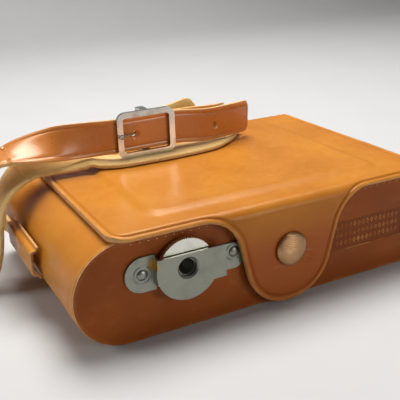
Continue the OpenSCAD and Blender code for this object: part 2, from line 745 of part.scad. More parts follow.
// Thin blades spread round the lens axis
module blade_ring(z, t, turn) {
    for (i = [0:blade_count - 1])
        translate([0, bed_c, z]) rotate([0, 0, turn + i * 360 / blade_count])
            intersection() {
                difference() {
                    cylinder(r = 17.5, h = t);
                    translate([0, 0, -1]) cylinder(r = 9.6, h = t + 2);
                }
                linear_extrude(t) polygon([[0, 0], [30, 0], 30 * [cos(340 / blade_count), sin(340 / blade_count)]]);
            }
}

module shutter_blades() color("silver") blade_ring(shutter_z + 3.6, 0.3, 0);
module iris_blades() color("gray") blade_ring(shutter_z + 5.6, 0.3, 20);

module front_lens() {
    color("lightblue") translate([0, bed_c, shutter_z + 11.2]) rotate_extrude()
        polygon(concat([[0, 0], [9.9, 0], [9.9, 2]],
            [for (i = [1:6]) [9.9 * cos(15 * i), 2 + 1.8 * sin(15 * i)]]));
}

module rear_lens() {
    color("lightblue") rod_z(0, bed_c, 8.9, shutter_z + 0.2, shutter_z + 2.4);
}

module focus_ring() {
    color("black") difference() {
        translate([0, bed_c, shutter_z + 10.5]) linear_extrude(5.6) knurled(15.4, 0.5, 48);
        rod_z(0, bed_c, 10, shutter_z + 10, shutter_z + 20);
    }
}

module speed_ring() {
    color("silver") difference() {
        translate([0, bed_c, shutter_z + 10.5]) linear_extrude(2) knurled(21.5, 0.5, 72);
        rod_z(0, bed_c, 15.6, shutter_z + 10, shutter_z + 14);
    }
}

// A flat ring round the shutter with a short finger
module ring_lever(z, turn, reach) {
    ring_z(shutter_d / 2 + run, shutter_d / 2 + 1.4, z, z + 1.4);
    translate([0, bed_c, z]) rotate([0, 0, turn])
        block([shutter_d / 2 + 0.5, -1, 0], [shutter_d / 2 + reach, 1, 1.4]);
}

module aperture_lever() color("silver") ring_lever(shutter_z + 3, 200, 6);
module cocking_lever() color("silver") ring_lever(shutter_z + 6, 60, 7);

// ---------------------------------------------------------------- film transport

module spool(x) {
    color("firebrick") difference() {
        union() {
            rod_y(x, cam_z, 5.6, spool_y0, spool_y1);
            rod_y(x, cam_z, flange_d / 2, spool_y0, spool_y0 + 0.8);
            rod_y(x, cam_z, flange_d / 2, spool_y1 - 0.8, spool_y1);
        }
        rod_y(x, cam_z, hub_r, spool_y0 - 1, spool_y0 + 5);
        rod_y(x, cam_z, hub_r, spool_y1 - 5, spool_y1 + 1);
        block([x - 4.4, spool_y1 - 3.4, cam_z - 1.2], [x + 4.4, spool_y1 + 1, cam_z + 1.2]);
    }
}

module takeup_spool() spool(-spool_x);
module feed_spool() spool(spool_x);

module winding_knob() {
    color("silver") {
        along_y(cam_y1 + 0.3, cam_y1 + 8) translate([-spool_x, cam_z]) knurled(11, 0.4, 48);
        rod_y(-spool_x, cam_z, 3, spool_y1 + 0.2, cam_y1 + 0.4);
        block([-spool_x - 4, spool_y1 - 3, cam_z - 1], [-spool_x + 4, spool_y1 + 0.6, cam_z + 1]);
    }
}

module film_roll() {
    color("darkred") difference() {
        rod_y(spool_x, cam_z, 10.8, spool_y0 + 0.9, spool_y1 - 0.9);
        rod_y(spool_x, cam_z, 5.65, spool_y0, spool_y1);
    }
}

module film_strip() color("darkred")
    block([-roller_x, spool_y0 + 2, film_z], [roller_x, spool_y1 - 2, film_z + 0.25]);

// Pins that carry both spools from the end walls; the take-up spool's far end hangs on the knob
module spool_pins() {
    color("silver") {
        for (x = [-spool_x, spool_x]) {
            rod_y(x, cam_z, hub_r - run, cam_y0 + cam_wall + 0.1, spool_y0 + 4);
            rod_y(x, cam_z, 5, cam_y0 + cam_wall + 0.05, cam_y0 + cam_wall + 1);
        }
        rod_y(spool_x, cam_z, hub_r - run, spool_y1 - 4, cam_y1 - cam_wall - 0.1);
        rod_y(spool_x, cam_z, 5, cam_y1 - cam_wall - 1, cam_y1 - cam_wall - 0.05);
    }
}

module roller(x) {
    color("silver") difference() {
        rod_y(x, roller_z, roller_r, spool_y0 + 1, spool_y1 - 1);
        rod_y(x, roller_z, 1 + run, spool_y0, spool_y1);
    }
}

module roller_left() roller(-roller_x);
module roller_right() roller(roller_x);

module roller_pins() color("gray") for (x = [-roller_x, roller_x])
    rod_y(x, roller_z, 1, cam_y0 + cam_wall + 0.05, cam_y1 - cam_wall - 0.05);

module pressure_plate() color("black")
    along_z(film_z - 1.4, film_z - 0.1)
        polygon(rounded([-gate_l / 2 - 2, gate_c - 31], [gate_l / 2 + 2, gate_c + 31], 2, 2));

module pressure_springs() {
    top = film_z - 1.5;
    low = back_z + cam_wall + 0.05;
    color("silver") for (x = [-26, 26])
        along_y(gate_c - 5, gate_c + 5) translate([x, 0])
            polygon([[-14, low], [-8, low], [-2, top - 0.3], [2, top - 0.3], [8, low], [14, low],
                [14, low + 0.3], [8.4, low + 0.3], [2.4, top], [-2.4, top], [-8.4, low + 0.3], [-14, low + 0.3]]);
}

module red_window() color("red") rod_z(window_at[0], window_at[1], 4.4, back_z + 0.1, back_z + 1.2);

module window_cover() color("silver")
    along_z(back_z - 0.75, back_z - 0.1)
        polygon(rounded([window_at[0] - 7, window_at[1] - 6], [window_at[0] + 7, window_at[1] + 6], 2, 2));

// ---------------------------------------------------------------- finder and release

module top_housing() {
    color("gray") difference() {
        along_y(cam_y1 + 0.1, cam_y1 + 9) polygon(rounded([-finder_x, 9], [finder_x, 33], 4, 4));
        along_y(cam_y1, cam_y1 + 7.8)
            polygon(rounded([-finder_x + 1.2, 10.2], [finder_x - 1.2, 31.8], 3, 3));
        block([-6, cam_y1 + 1.2, 30], [6, cam_y1 + 7, 34]);
        rod_z(0, cam_y1 + 4, 2.6, 8, 12);
    }
}

module finder_lenses() {
    color("lightblue") {
        block([-5.9, cam_y1 + 1.3, 31], [5.9, cam_y1 + 6.9, 32.6]);
        rod_z(0, cam_y1 + 4, 2.5, 9.1, 10.8);
    }
}

module release_button() {
    color("silver") {
        rod_y(button_at[0], button_at[1], 4.2, cam_y1 + 2.6, cam_y1 + 5.2);
        rod_y(button_at[0], button_at[1], 2.5, cam_y1 - 2.8, cam_y1 + 3);
        rod_y(button_at[0], button_at[1], 3.6, cam_y1 - 2.9, cam_y1 - 1.6);
    }
}

module release_spring() {
    turns = 2.5;
    steps = 40;
    wire = 0.3;
    sides = 6;
    rings = [for (i = [0:steps])
        let (a = 360 * turns * i / steps, y = 2.4 - 2 * wire)
        [for (k = [0:sides - 1])
            let (r = 3.2 + wire * cos(60 * k))
            [r * cos(a), cam_y1 + 0.05 + wire + (y - 0.1) * i / steps + wire * sin(60 * k), r * sin(a)]]];
    faces = concat(
        [for (i = [0:steps - 1], k = [0:sides - 1])
            let (m = (k + 1) % sides)
            each [[i * sides + k, (i + 1) * sides + k, i * sides + m],
                [i * sides + m, (i + 1) * sides + k, (i + 1) * sides + m]]],
        [[for (k = [0:sides - 1]) k], [for (k = [sides - 1:-1:0]) steps * sides + k]]);
    color("silver") translate([button_at[0], 0, button_at[1]])
        polyhedron([for (ring = rings) each ring], faces);
}

case_shell();
bottom_plate();
corner_panels();
back_hinge();
case_lining();
left_keeper();
right_keeper();
bracket();
bracket_rivets();
snap_stud();
strap_holed_slack();
strap_buckled_slack();
top_cover();
lid_flap();
lid_lining();
snap_cap();
snap_socket();
strap_holed();
strap_buckled();
buckle_frame();
buckle_pin();
buckle_prong();
retaining_wheel();
retaining_screw();
screw_washer();
camera_body();
back_door();
back_hinge_pin();
tripod_bush();
bed_door();
bed_hinge_pin();
bed_struts();
bellows();
lens_board();
shutter_case();
shutter_blades();
iris_blades();
front_lens();
rear_lens();
focus_ring();
speed_ring();
aperture_lever();
cocking_lever();
winding_knob();
takeup_spool();
feed_spool();
film_roll();
film_strip();
spool_pins();
roller_left();
roller_right();
roller_pins();
pressure_plate();
pressure_springs();
red_window();
window_cover();
top_housing();
finder_lenses();
release_button();
release_spring();
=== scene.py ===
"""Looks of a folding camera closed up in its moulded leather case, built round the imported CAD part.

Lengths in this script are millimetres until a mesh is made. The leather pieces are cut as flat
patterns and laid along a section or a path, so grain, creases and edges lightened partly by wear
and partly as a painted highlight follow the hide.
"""
import math

import bmesh
import bpy
import numpy as np
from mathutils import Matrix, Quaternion, Vector, geometry, noise


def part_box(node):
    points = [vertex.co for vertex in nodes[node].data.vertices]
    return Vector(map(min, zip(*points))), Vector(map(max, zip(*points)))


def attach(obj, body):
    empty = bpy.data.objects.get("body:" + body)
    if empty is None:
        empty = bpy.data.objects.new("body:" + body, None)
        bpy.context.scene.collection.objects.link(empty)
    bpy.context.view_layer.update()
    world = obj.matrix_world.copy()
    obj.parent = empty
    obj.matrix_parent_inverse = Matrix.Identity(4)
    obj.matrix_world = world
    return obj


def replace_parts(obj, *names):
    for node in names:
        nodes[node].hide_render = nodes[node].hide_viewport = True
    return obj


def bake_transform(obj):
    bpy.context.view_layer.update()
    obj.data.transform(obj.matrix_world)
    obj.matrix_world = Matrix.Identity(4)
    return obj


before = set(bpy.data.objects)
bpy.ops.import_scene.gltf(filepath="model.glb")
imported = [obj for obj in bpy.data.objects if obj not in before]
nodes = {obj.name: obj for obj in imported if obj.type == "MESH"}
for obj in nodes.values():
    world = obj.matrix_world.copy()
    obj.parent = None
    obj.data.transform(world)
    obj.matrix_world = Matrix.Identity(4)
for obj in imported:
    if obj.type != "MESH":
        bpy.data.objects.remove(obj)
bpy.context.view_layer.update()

MM = 0.001


def box_mm(node):
    """Lowest and highest corner of a CAD node, in mm."""
    low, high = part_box(node)
    return low / MM, high / MM


# --- sizes read from the frame

plate_low, plate_high = box_mm("bottom_plate")
_, shell_high = box_mm("case_shell")
lid_low, lid_high = box_mm("lid_flap")
cover_low, cover_high = box_mm("top_cover")
panel_low, panel_high = box_mm("corner_panels")
cap_low, cap_high = box_mm("snap_cap")
wheel_low, wheel_high = box_mm("retaining_wheel")
bracket_low, _ = box_mm("bracket")
frame_low, frame_high = box_mm("buckle_frame")
pin_low, pin_high = box_mm("buckle_pin")
left_low, left_high = box_mm("left_keeper")
right_low, right_high = box_mm("right_keeper")

HIDE = 2.4                                  # thickness of the case leather
case_h = plate_low.z + plate_high.z
end_r = case_h / 2
half_l = shell_high.x
half_d = shell_high.y
end_x = half_l - end_r
mouth_x = end_x - 2
snap = (cap_low + cap_high) / 2
screw = (wheel_low + wheel_high) / 2
buckle = (frame_low + frame_high) / 2
pin_y = (pin_low.y + pin_high.y) / 2

lid_z = case_h + 0.2                        # underside of the lid
lid_top = lid_z + HIDE
lid_half = lid_high.x
near_r = 4.4                                # outer radius of the fold into the tongue
far_r = 3.4                                 # outer radius of the fold into the far wall
tongue_y = -half_d - 1.6 - HIDE             # outer face of the tongue
far_y = cover_low.y + HIDE                  # outer face of the far wall
FIELD = (23.0, 14.2, 62.0, 27.5)            # tooled field on the plate: low x, z, high x, z
FIELD_DEPTH = 0.8


# --- small maths

def smoothstep(x):
    x = min(1.0, max(0.0, x))
    return x * x * (3 - 2 * x)


def ripple(a, b, size, seed=0.0):
    """Slow unevenness from -1 to 1, one swell about size long."""
    return noise.noise(Vector((a / size, b / size, seed)))


def arc(centre, radius, start, end, step=3.0):
    """Points along an arc, angles in degrees."""
    count = max(2, round(abs(end - start) / step))
    angles = [math.radians(start + (end - start) * i / count) for i in range(count + 1)]
    return [(centre[0] + radius * math.cos(t), centre[1] + radius * math.sin(t)) for t in angles]


def rounded_gap(x, y, half_x, half_y, radius):
    """Distance inside a rounded rectangle about the origin; negative outside."""
    dx = abs(x) - half_x + radius
    dy = abs(y) - half_y + radius
    return radius - math.hypot(max(dx, 0), max(dy, 0)) - min(max(dx, dy), 0)


def resample(loop, step):
    """The closed loop with its long straight runs divided."""
    out = []
    for (x0, y0), (x1, y1) in zip(loop, loop[1:] + loop[:1]):
        length = math.hypot(x1 - x0, y1 - y0)
        if length < 1e-6:
            continue
        count = max(1, round(length / step))
        out += [(x0 + (x1 - x0) * i / count, y0 + (y1 - y0) * i / count) for i in range(count)]
    return out


def unit_rows(rows):
    return rows / np.linalg.norm(rows, axis=1)[:, None]


def drawn_in(loop, step=1.4):
    """A function of d that gives the loop drawn in by d, with the same number of points each time."""
    points = np.array(resample(loop, step))
    after = np.roll(points, -1, axis=0)
    if (points[:, 0] * after[:, 1] - after[:, 0] * points[:, 1]).sum() < 0:
        points = points[::-1]
    into = unit_rows(points - np.roll(points, 1, axis=0))
    out = unit_rows(np.roll(points, -1, axis=0) - points)
    normal_in = np.stack((-into[:, 1], into[:, 0]), axis=1)
    normal_out = np.stack((-out[:, 1], out[:, 0]), axis=1)
    bisector = (normal_in + normal_out) / (1 + (normal_in * normal_out).sum(axis=1))[:, None]
    return lambda d: [tuple(p) for p in points + bisector * d]


def inside(points, loop):
    """Which of the points lie inside the loop."""
    found = np.zeros(len(points), bool)
    x, y = points[:, 0], points[:, 1]
    for (x0, y0), (x1, y1) in zip(loop, loop[1:] + loop[:1]):
        if y0 == y1:
            continue
        crosses = (y0 > y) != (y1 > y)
        found ^= crosses & (x < (x1 - x0) * (y - y0) / (y1 - y0) + x0)
    return found


# --- leather cut from a flat pattern

def filled(loop, guard, holes, step, dense):
    """Triangles that fill the loop: (points, faces), where the first points are the loop's own."""
    low, high = np.min(loop, axis=0), np.max(loop, axis=0)
    spots = []
    for a0, b0, a1, b1, pitch in [(low[0], low[1], high[0], high[1], step)] + list(dense):
        columns, rows = round((a1 - a0) / pitch), round((b1 - b0) / pitch)
        grid = [(a0 + (a1 - a0) * (i + 0.5 * (j % 2) * (pitch == step)) / max(1, columns),
                 b0 + (b1 - b0) * j / max(1, rows))
                for j in range(rows + 1) for i in range(columns + 1)]
        spots.append(np.array(grid))
        if len(spots) > 1:
            covered = (spots[0] > (a0, b0)).all(axis=1) & (spots[0] < (a1, b1)).all(axis=1)
            spots[0] = spots[0][~covered]
    grid = np.concatenate(spots)
    keep = inside(grid, guard)
    for hole in holes:
        keep &= ~inside(grid, hole["guard"])
    points = list(loop)
    edges = [(i, (i + 1) % len(loop)) for i in range(len(loop))]
    for hole in holes:
        start = len(points)
        points += hole["loop"]
        count = len(hole["loop"])
        edges += [(start + i, start + (i + 1) % count) for i in range(count)]
    points += [tuple(p) for p in grid[keep]]
    out, _, faces, origin, _, _ = geometry.delaunay_2d_cdt([Vector(p) for p in points], edges, [], 0, 1e-7)
    back = [o[0] if o else None for o in origin]
    centres = np.array([[sum(out[i][k] for i in f) / len(f) for k in (0, 1)] for f in faces])
    wanted = inside(centres, loop)
    for hole in holes:
        wanted &= ~inside(centres, hole["loop"])
    own = [tuple(back[i] for i in f) for f in faces]
    return points, [f for f, ok in zip(own, wanted) if ok and None not in f]


def hole_at(a, b, radius):
    """A round hole, and the ring about it that stays clear of other points."""
    return {"loop": arc((a, b), radius, 0, 342, 18), "guard": arc((a, b), radius + 0.5, 0, 342, 18)}


EDGE_ROUND = ((0.0, 1.0), (0.3, 0.4), (0.8, 0.08), (1.8, 0.0))     # in from a softened edge, and down
CREASE_SECTION = ((0.62, 0.0), (0.8, 0.3), (0.93, 0.85), (1.0, 1.0), (1.08, 0.8), (1.22, 0.3), (1.45, 0.0))


def sheet(name, ring, place, thick, relief=None, crease=None, groove=0.25, holes=(), step=2.2, dense=(),
          soft=0.45):
    """A closed piece of leather. ring(d) is its outline drawn in by d. place(a, b, h) puts a point of
    the flat pattern, h above the flesh side, in the frame. relief(a, b) raises the grain side. crease
    is the distance of a pressed line from the edge and groove its depth. soft is the size of the
    rounded edge. Material slots: 0 grain, 1 cut edge, 2 flesh."""
    rims = [(across * soft, thick - drop * soft) for across, drop in EDGE_ROUND]
    if crease:
        rims += [(crease * share, thick - drop * groove) for share, drop in CREASE_SECTION]
    backs = [(0.0, 0.4 * thick - 0.2), (0.25, 0.0)]
    verts, flat, rim, faces, slots = [], [], [], [], []

    def put(a, b, h, d):
        verts.append(place(a, b, h))
        flat.append((a, b, h))
        rim.append(d)
        return len(verts) - 1

    def face(ids, slot):
        faces.append(ids)
        slots.append(slot)

    def bridge(one, two, slot):
        for i in range(len(one)):
            j = (i + 1) % len(one)
            face((one[i], one[j], two[j], two[i]), slot)

    def side(levels, slot, spacing, extra, lift):
        loops = []
        for d, h in levels:
            loops.append([put(a, b, h + (lift(a, b) if lift and d > 0 else 0), d) for a, b in ring(d)])
        for k in range(len(loops) - 1):
            bridge(loops[k], loops[k + 1], 1 if k == 0 else slot)
        last_d, last_h = levels[-1]
        points, tris = filled(ring(last_d), ring(last_d + 0.45 * spacing), holes, spacing, extra)
        ids = list(loops[-1])
        outer = np.array(ring(0.0))
        for a, b in points[len(ids):]:
            gap = float(np.sqrt(((outer - (a, b)) ** 2).sum(axis=1).min()))
            ids.append(put(a, b, last_h + (lift(a, b) if lift else 0), gap))
        for t in tris:
            face(tuple(ids[i] for i in t), slot)
        return loops[0], ids[len(loops[-1]):]

    top_edge, top_rest = side(rims, 0, step, dense, relief)
    low_edge, low_rest = side(backs, 2, max(step, 3.0), (), None)
    bridge(top_edge, low_edge, 1)
    start = 0
    for hole in holes:
        count = len(hole["loop"])
        bridge(top_rest[start:start + count], low_rest[start:start + count], 1)
        start += count
    return solid(name, verts, faces, slots, flat, rim)


def solid(name, verts, faces, slots=None, flat=None, rim=None):
    """A mesh object from points in mm, with outward normals."""
    mesh = bpy.data.meshes.new(name)
    mesh.from_pydata([Vector(v) * MM for v in verts], [], faces)
    mesh.polygons.foreach_set("use_smooth", [True] * len(faces))
    if slots:
        mesh.polygons.foreach_set("material_index", slots)
    if flat:
        spots = mesh.attributes.new("flat", "FLOAT_VECTOR", "POINT")
        spots.data.foreach_set("vector", np.array(flat).ravel())
        mesh.attributes.new("rim", "FLOAT", "POINT").data.foreach_set("value", rim)
    obj = bpy.data.objects.new(name, mesh)
    bpy.context.scene.collection.objects.link(obj)
    bm = bmesh.new()
    bm.from_mesh(mesh)
    bmesh.ops.recalc_face_normals(bm, faces=bm.faces)
    bm.to_mesh(mesh)
    bm.free()
    return obj


def joined(name, parts):
    """One object from several loose solids given as (verts, faces)."""
    verts, faces = [], []
    for v, f in parts:
        faces += [tuple(i + len(verts) for i in one) for one in f]
        verts += v
    return solid(name, verts, faces)


def dress(obj, materials):
    for m in materials:
        obj.data.materials.append(m)
    return obj


def settle(piece, materials, slot, body, *replaced):
    """Dresses a finished piece and puts it in the place of its CAD nodes, on a body."""
    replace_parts(dress(piece, materials), *replaced)
    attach(piece, body)


class Section:
    """A run of lines and arcs in a plane, as the outer face of bent leather. at(s, h) gives a point
    a distance s along it and h above the inner face."""

    def __init__(self, thick):
        self.thick = thick
        self.parts = []
        self.length = 0.0

    def extend(self, size, point):
        self.parts.append((self.length, self.length + size, point))
        self.length += size
        return self

    def line(self, start, end, normal):
        def point(share, rise):
            return [start[k] + (end[k] - start[k]) * share + normal[k] * rise for k in (0, 1)]
        return self.extend(math.dist(start, end), point)

    def arc(self, centre, radius, start, end):
        """radius is that of the outer face."""
        def point(share, rise):
            angle = math.radians(start + (end - start) * share)
            reach = radius + rise
            return [centre[0] + reach * math.cos(angle), centre[1] + reach * math.sin(angle)]
        return self.extend(radius * abs(math.radians(end - start)), point)

    def at(self, s, h):
        low, high, point = next((part for part in self.parts if s <= part[1]), self.parts[-1])
        return point((s - low) / (high - low), h - self.thick)


# --- materials

class Shader:
    """A material and a short way to add nodes to it. A keyword is an input by name with spaces as _,
    or a property of the node; a socket as its value is linked."""

    def __init__(self, name):
        self.material = bpy.data.materials.new(name)
        self.material.use_nodes = True
        self.tree = self.material.node_tree
        self.tree.nodes.clear()

    def add(self, kind, **values):
        node = self.tree.nodes.new("ShaderNode" + kind)
        for key in [k for k in values if hasattr(node, k)]:
            setattr(node, key, values.pop(key))
        for key, value in values.items():
            label = key.replace("_", " ")
            socket = node.inputs[int(key[1:])] if key[0] == "i" and key[1:].isdigit() else node.inputs[label]
            if isinstance(value, bpy.types.NodeSocket):
                self.tree.links.new(value, socket)
            elif isinstance(value, bpy.types.Node):
                self.tree.links.new(value.outputs[0], socket)
            elif socket.type == "RGBA" and len(value) == 3:
                socket.default_value = (*value, 1)
            else:
                socket.default_value = value
        return node

    def coords(self, flat, stretch=(1, 1, 1)):
        """Position in mm, along the hide for cut leather and in the frame for other pieces."""
        if flat:
            source = self.add("Attribute", attribute_name="flat").outputs["Vector"]
            return self.add("Mapping", Vector=source, Scale=stretch).outputs[0]
        source = self.add("TexCoord").outputs["Object"]
        return self.add("Mapping", Vector=source, Scale=[s / MM for s in stretch]).outputs[0]

    def noise(self, coords, size, detail=4.0, rough=0.5):
        values = {"Vector": coords, "Scale": 1 / size, "Detail": detail, "Roughness": rough}
        return self.add("TexNoise", **values).outputs["Fac"]

    def ramp(self, value, low, high, to_low=0.0, to_high=1.0):
        return self.add("MapRange", i0=value, i1=low, i2=high, i3=to_low, i4=to_high,
                        interpolation_type="SMOOTHSTEP").outputs[0]

    def maths(self, operation, a, b=0.5):
        return self.add("Math", operation=operation, i0=a, i1=b).outputs[0]

    def blend(self, share, one, two):
        node = self.add("Mix", data_type="RGBA")
        for index, value in ((0, share), (6, one), (7, two)):
            socket = node.inputs[index]
            if isinstance(value, bpy.types.NodeSocket):
                self.tree.links.new(value, socket)
            elif index:
                socket.default_value = (*value, 1)
            else:
                socket.default_value = value
        return node.outputs[2]

    def bump(self, height, depth, normal=None):
        extra = {"Normal": normal} if normal else {}
        return self.add("Bump", Height=height, Distance=depth * MM, Strength=1.0, **extra).outputs[0]

    def done(self, **values):
        surface = self.add("BsdfPrincipled", **values)
        self.add("OutputMaterial", Surface=surface.outputs[0])
        return self.material


def leather(name, dark, mid, light, rough=0.36, streak=1.0, wear=0.5, coat=0.05, shine=0.35, painted_shade=None,
            stamped=None):
    """Smooth tanned hide: slightly cloudy dye, fine pores, thin scratches, and edges lightened partly as
    rubbed wear and partly as a painted highlight. A painted shade can darken the hide down the pattern,
    from one length to another towards a given colour; stamped is (low, high, depth) of a tooled field's
    pattern."""
    s = Shader(name)
    along = s.coords(True)
    clouds = s.noise(along, 34.0, 2.0, 0.45)
    mottle = s.noise(along, 6.0, 5.0, 0.6)
    fibres = s.noise(s.coords(True, (0.1, streak, streak)), 1.3, 4.0, 0.6)
    colour = s.blend(s.ramp(clouds, 0.25, 0.75), dark, mid)
    colour = s.blend(s.ramp(mottle, 0.5, 0.85, 0.0, 0.16), colour, light)
    colour = s.blend(s.ramp(fibres, 0.35, 0.8, 0.0, 0.22), colour, dark)
    place = s.add("SeparateXYZ", Vector=along).outputs
    # Painted shade: the hide darkens down the pattern towards the given colour, where it turns away from the
    # light.
    if painted_shade:
        start, end, tone = painted_shade
        colour = s.blend(s.ramp(place["Y"], start, end, 0.0, 0.85), colour, tone)
    # Edges lightened: partly rubbed wear, partly a painted highlight where the rounded edge catches the
    # light.
    rim = s.add("Attribute", attribute_name="rim").outputs["Fac"]
    rubbed_and_highlit = s.maths("MULTIPLY", s.ramp(rim, 2.0, 0.1, 0.0, wear), s.ramp(mottle, 0.3, 0.7, 0.4, 1.0))
    colour = s.blend(rubbed_and_highlit, colour, light)
    if stamped:
        low, high, depth = stamped
        within = s.maths("GREATER_THAN", place["X"], low)
        sunk = s.maths("MULTIPLY", within, s.ramp(place["Z"], high - 0.5 * depth, high - 0.9 * depth))
        tops = s.maths("MULTIPLY", s.ramp(place["Z"], high - 0.75 * depth, high - 0.45 * depth),
                       s.ramp(place["Z"], high - 0.2 * depth, high - 0.35 * depth))
        tops = s.maths("MULTIPLY", s.maths("MULTIPLY", within, tops), s.ramp(mottle, 0.4, 0.6, 0.25, 1.0))
        colour = s.blend(s.maths("MULTIPLY", sunk, 0.45), colour, [0.5 * c for c in dark])
        colour = s.blend(s.maths("MULTIPLY", tops, 0.9), colour, light)
    pores = s.add("TexVoronoi", Vector=along, Scale=1.6, Randomness=1.0).outputs["Distance"]
    grain = s.noise(along, 0.6, 3.0, 0.55)
    scratches = s.ramp(s.noise(s.coords(True, (0.05, 1, 1)), 0.7, 2.0, 0.5), 0.68, 0.76)
    normal = s.bump(pores, 0.02)
    normal = s.bump(grain, 0.03, normal)
    normal = s.bump(scratches, -0.02, normal)
    gloss = s.ramp(s.noise(along, 3.2, 4.0), 0.3, 0.75, rough - 0.05, rough + 0.1)
    return s.done(Base_Color=colour, Roughness=gloss, Normal=normal, Coat_Weight=coat, Coat_Roughness=0.25,
                  Specular_IOR_Level=shine, Specular_Tint=(1.0, 0.74, 0.46))


def suede(name, dark, light, flat=True):
    """The flesh side: a short matt nap."""
    s = Shader(name)
    along = s.coords(flat)
    nap = s.noise(along, 0.45, 6.0, 0.75)
    patches = s.noise(along, 7.0, 3.0)
    brushed = s.noise(s.coords(flat, (0.12, 1, 1)), 1.1, 3.0)
    colour = s.blend(s.ramp(nap, 0.3, 0.7), dark, light)
    colour = s.blend(s.ramp(patches, 0.35, 0.75, 0.0, 0.45), colour, dark)
    colour = s.blend(s.ramp(brushed, 0.5, 0.8, 0.0, 0.3), colour, light)
    normal = s.bump(brushed, 0.12, s.bump(nap, 0.16))
    return s.done(Base_Color=colour, Roughness=0.94, Normal=normal, Sheen_Weight=0.35, Sheen_Roughness=0.4)


def raw_edge(name, dark, light):
    """Cut edge of a hide, with its fibres in thin layers."""
    s = Shader(name)
    along = s.coords(True, (0.4, 0.4, 3))
    layers = s.noise(along, 0.7, 4.0, 0.65)
    colour = s.blend(s.ramp(layers, 0.3, 0.75), dark, light)
    return s.done(Base_Color=colour, Roughness=0.68, Normal=s.bump(layers, 0.08))


def metal(name, base, dull, rough=0.3, spots=0.35, brushed=(1, 1, 1), brass=None):
    """Plated metal with tarnish, fine scratches and, where asked, brass showing through."""
    s = Shader(name)
    place = s.coords(False)
    cloud = s.noise(place, 7.0, 4.0, 0.55)
    lines = s.noise(s.coords(False, brushed), 0.35, 3.0, 0.6)
    colour = s.blend(s.ramp(cloud, 0.45, 0.75, 0.0, spots), base, dull)
    colour = s.blend(s.ramp(lines, 0.45, 0.8, 0.0, 0.18), colour, dull)
    if brass:
        at, reach = brass
        gap = s.add("VectorMath", operation="DISTANCE", i0=place, i1=at).outputs["Value"]
        worn = s.maths("ADD", s.ramp(gap, reach, reach * 0.25), s.ramp(cloud, 0.3, 0.7, -0.45, 0.25))
        colour = s.blend(s.ramp(worn, 0.3, 0.75), colour, (0.46, 0.3, 0.08))
    gloss = s.ramp(cloud, 0.3, 0.75, rough - 0.04, rough + 0.1)
    normal = s.bump(lines, 0.012, s.bump(s.noise(place, 1.3, 3.0), 0.02))
    return s.done(Base_Color=colour, Metallic=1.0, Roughness=gloss, Normal=normal)


def enamel(name, base, light, rough=0.3):
    """Black stove enamel, chipped a little lighter along scratches."""
    s = Shader(name)
    place = s.coords(False)
    wear = s.noise(place, 1.1, 6.0, 0.7)
    colour = s.blend(s.ramp(wear, 0.62, 0.72), base, light)
    return s.done(Base_Color=colour, Roughness=s.ramp(wear, 0.3, 0.8, rough, rough + 0.25),
                  Normal=s.bump(s.noise(place, 0.7), 0.02), Coat_Weight=0.3)


def pebbled(name, base, light):
    """Pebbled covering of the camera body."""
    s = Shader(name)
    place = s.coords(False)
    cells = s.add("TexVoronoi", Vector=place, Scale=1.1, feature="SMOOTH_F1").outputs["Distance"]
    colour = s.blend(s.ramp(cells, 0.2, 0.75), light, base)
    return s.done(Base_Color=colour, Roughness=0.5, Normal=s.bump(cells, -0.28))


def glass(name, tint):
    s = Shader(name)
    dust = s.noise(s.coords(False), 1.6, 5.0)
    return s.done(Base_Color=tint, Roughness=s.ramp(dust, 0.4, 0.8, 0.03, 0.14), Transmission_Weight=0.85,
                  IOR=1.5, Coat_Weight=0.5, Normal=s.bump(dust, 0.004))


def woven(name, dark, light, pitch=0.5):
    """Plain cloth or backing paper with a fine weave."""
    s = Shader(name)
    place = s.coords(False)
    warp, weft = (s.add("TexWave", Vector=place, Scale=1 / pitch, bands_direction=way, Distortion=0.6)
                  for way in "XY")
    threads = s.maths("MULTIPLY", warp.outputs["Fac"], weft.outputs["Fac"])
    fuzz = s.noise(place, 4.0, 5.0)
    colour = s.blend(s.ramp(threads, 0.1, 0.8), dark, light)
    colour = s.blend(s.ramp(fuzz, 0.4, 0.8, 0.0, 0.4), colour, dark)
    return s.done(Base_Color=colour, Roughness=0.85, Normal=s.bump(threads, 0.06))


ORANGE = ((0.44, 0.150, 0.014), (0.55, 0.208, 0.022), (0.72, 0.36, 0.085))
orange = leather("orange_hide", *ORANGE)
# The plate's hide is the case's orange leather made darker, as painted shade on the face turned from the
# light.
shaded_plate_hide = leather("shaded_plate_hide", (0.22, 0.045, 0.006), (0.29, 0.066, 0.008), (0.60, 0.26, 0.08),
                     rough=0.42, wear=0.25, shine=0.25,
                     stamped=(FIELD[0] + 1.2, plate_high.y - plate_low.y, FIELD_DEPTH))
strap_hide = leather("strap_hide", (0.46, 0.140, 0.024), (0.62, 0.220, 0.042), (0.84, 0.46, 0.19),
                     rough=0.30, streak=3.0, wear=0.25, coat=0.6, shine=0.5)
flesh = suede("flesh_side", (0.60, 0.36, 0.11), (0.82, 0.56, 0.22))
case_flesh = suede("case_flesh", (0.34, 0.16, 0.06), (0.52, 0.28, 0.12))
edge = raw_edge("cut_edge", (0.42, 0.17, 0.05), (0.78, 0.44, 0.18))
strap_edge = raw_edge("strap_edge", (0.56, 0.32, 0.10), (0.84, 0.58, 0.24))
thread = suede("waxed_thread", (0.60, 0.50, 0.36), (0.82, 0.74, 0.58), flat=False)
nap_lining = suede("lining_nap", (0.085, 0.035, 0.018), (0.17, 0.075, 0.036), flat=False)
nickel = metal("dull_nickel", (0.28, 0.285, 0.24), (0.17, 0.17, 0.14), rough=0.34, brushed=(0.2, 1, 1.6),
               brass=((bracket_low.x + 11.6, bracket_low.y + 2.4, screw.z + 3.0), 4.2))
bright_nickel = metal("bright_nickel", (0.74, 0.73, 0.66), (0.45, 0.44, 0.38), rough=0.22)
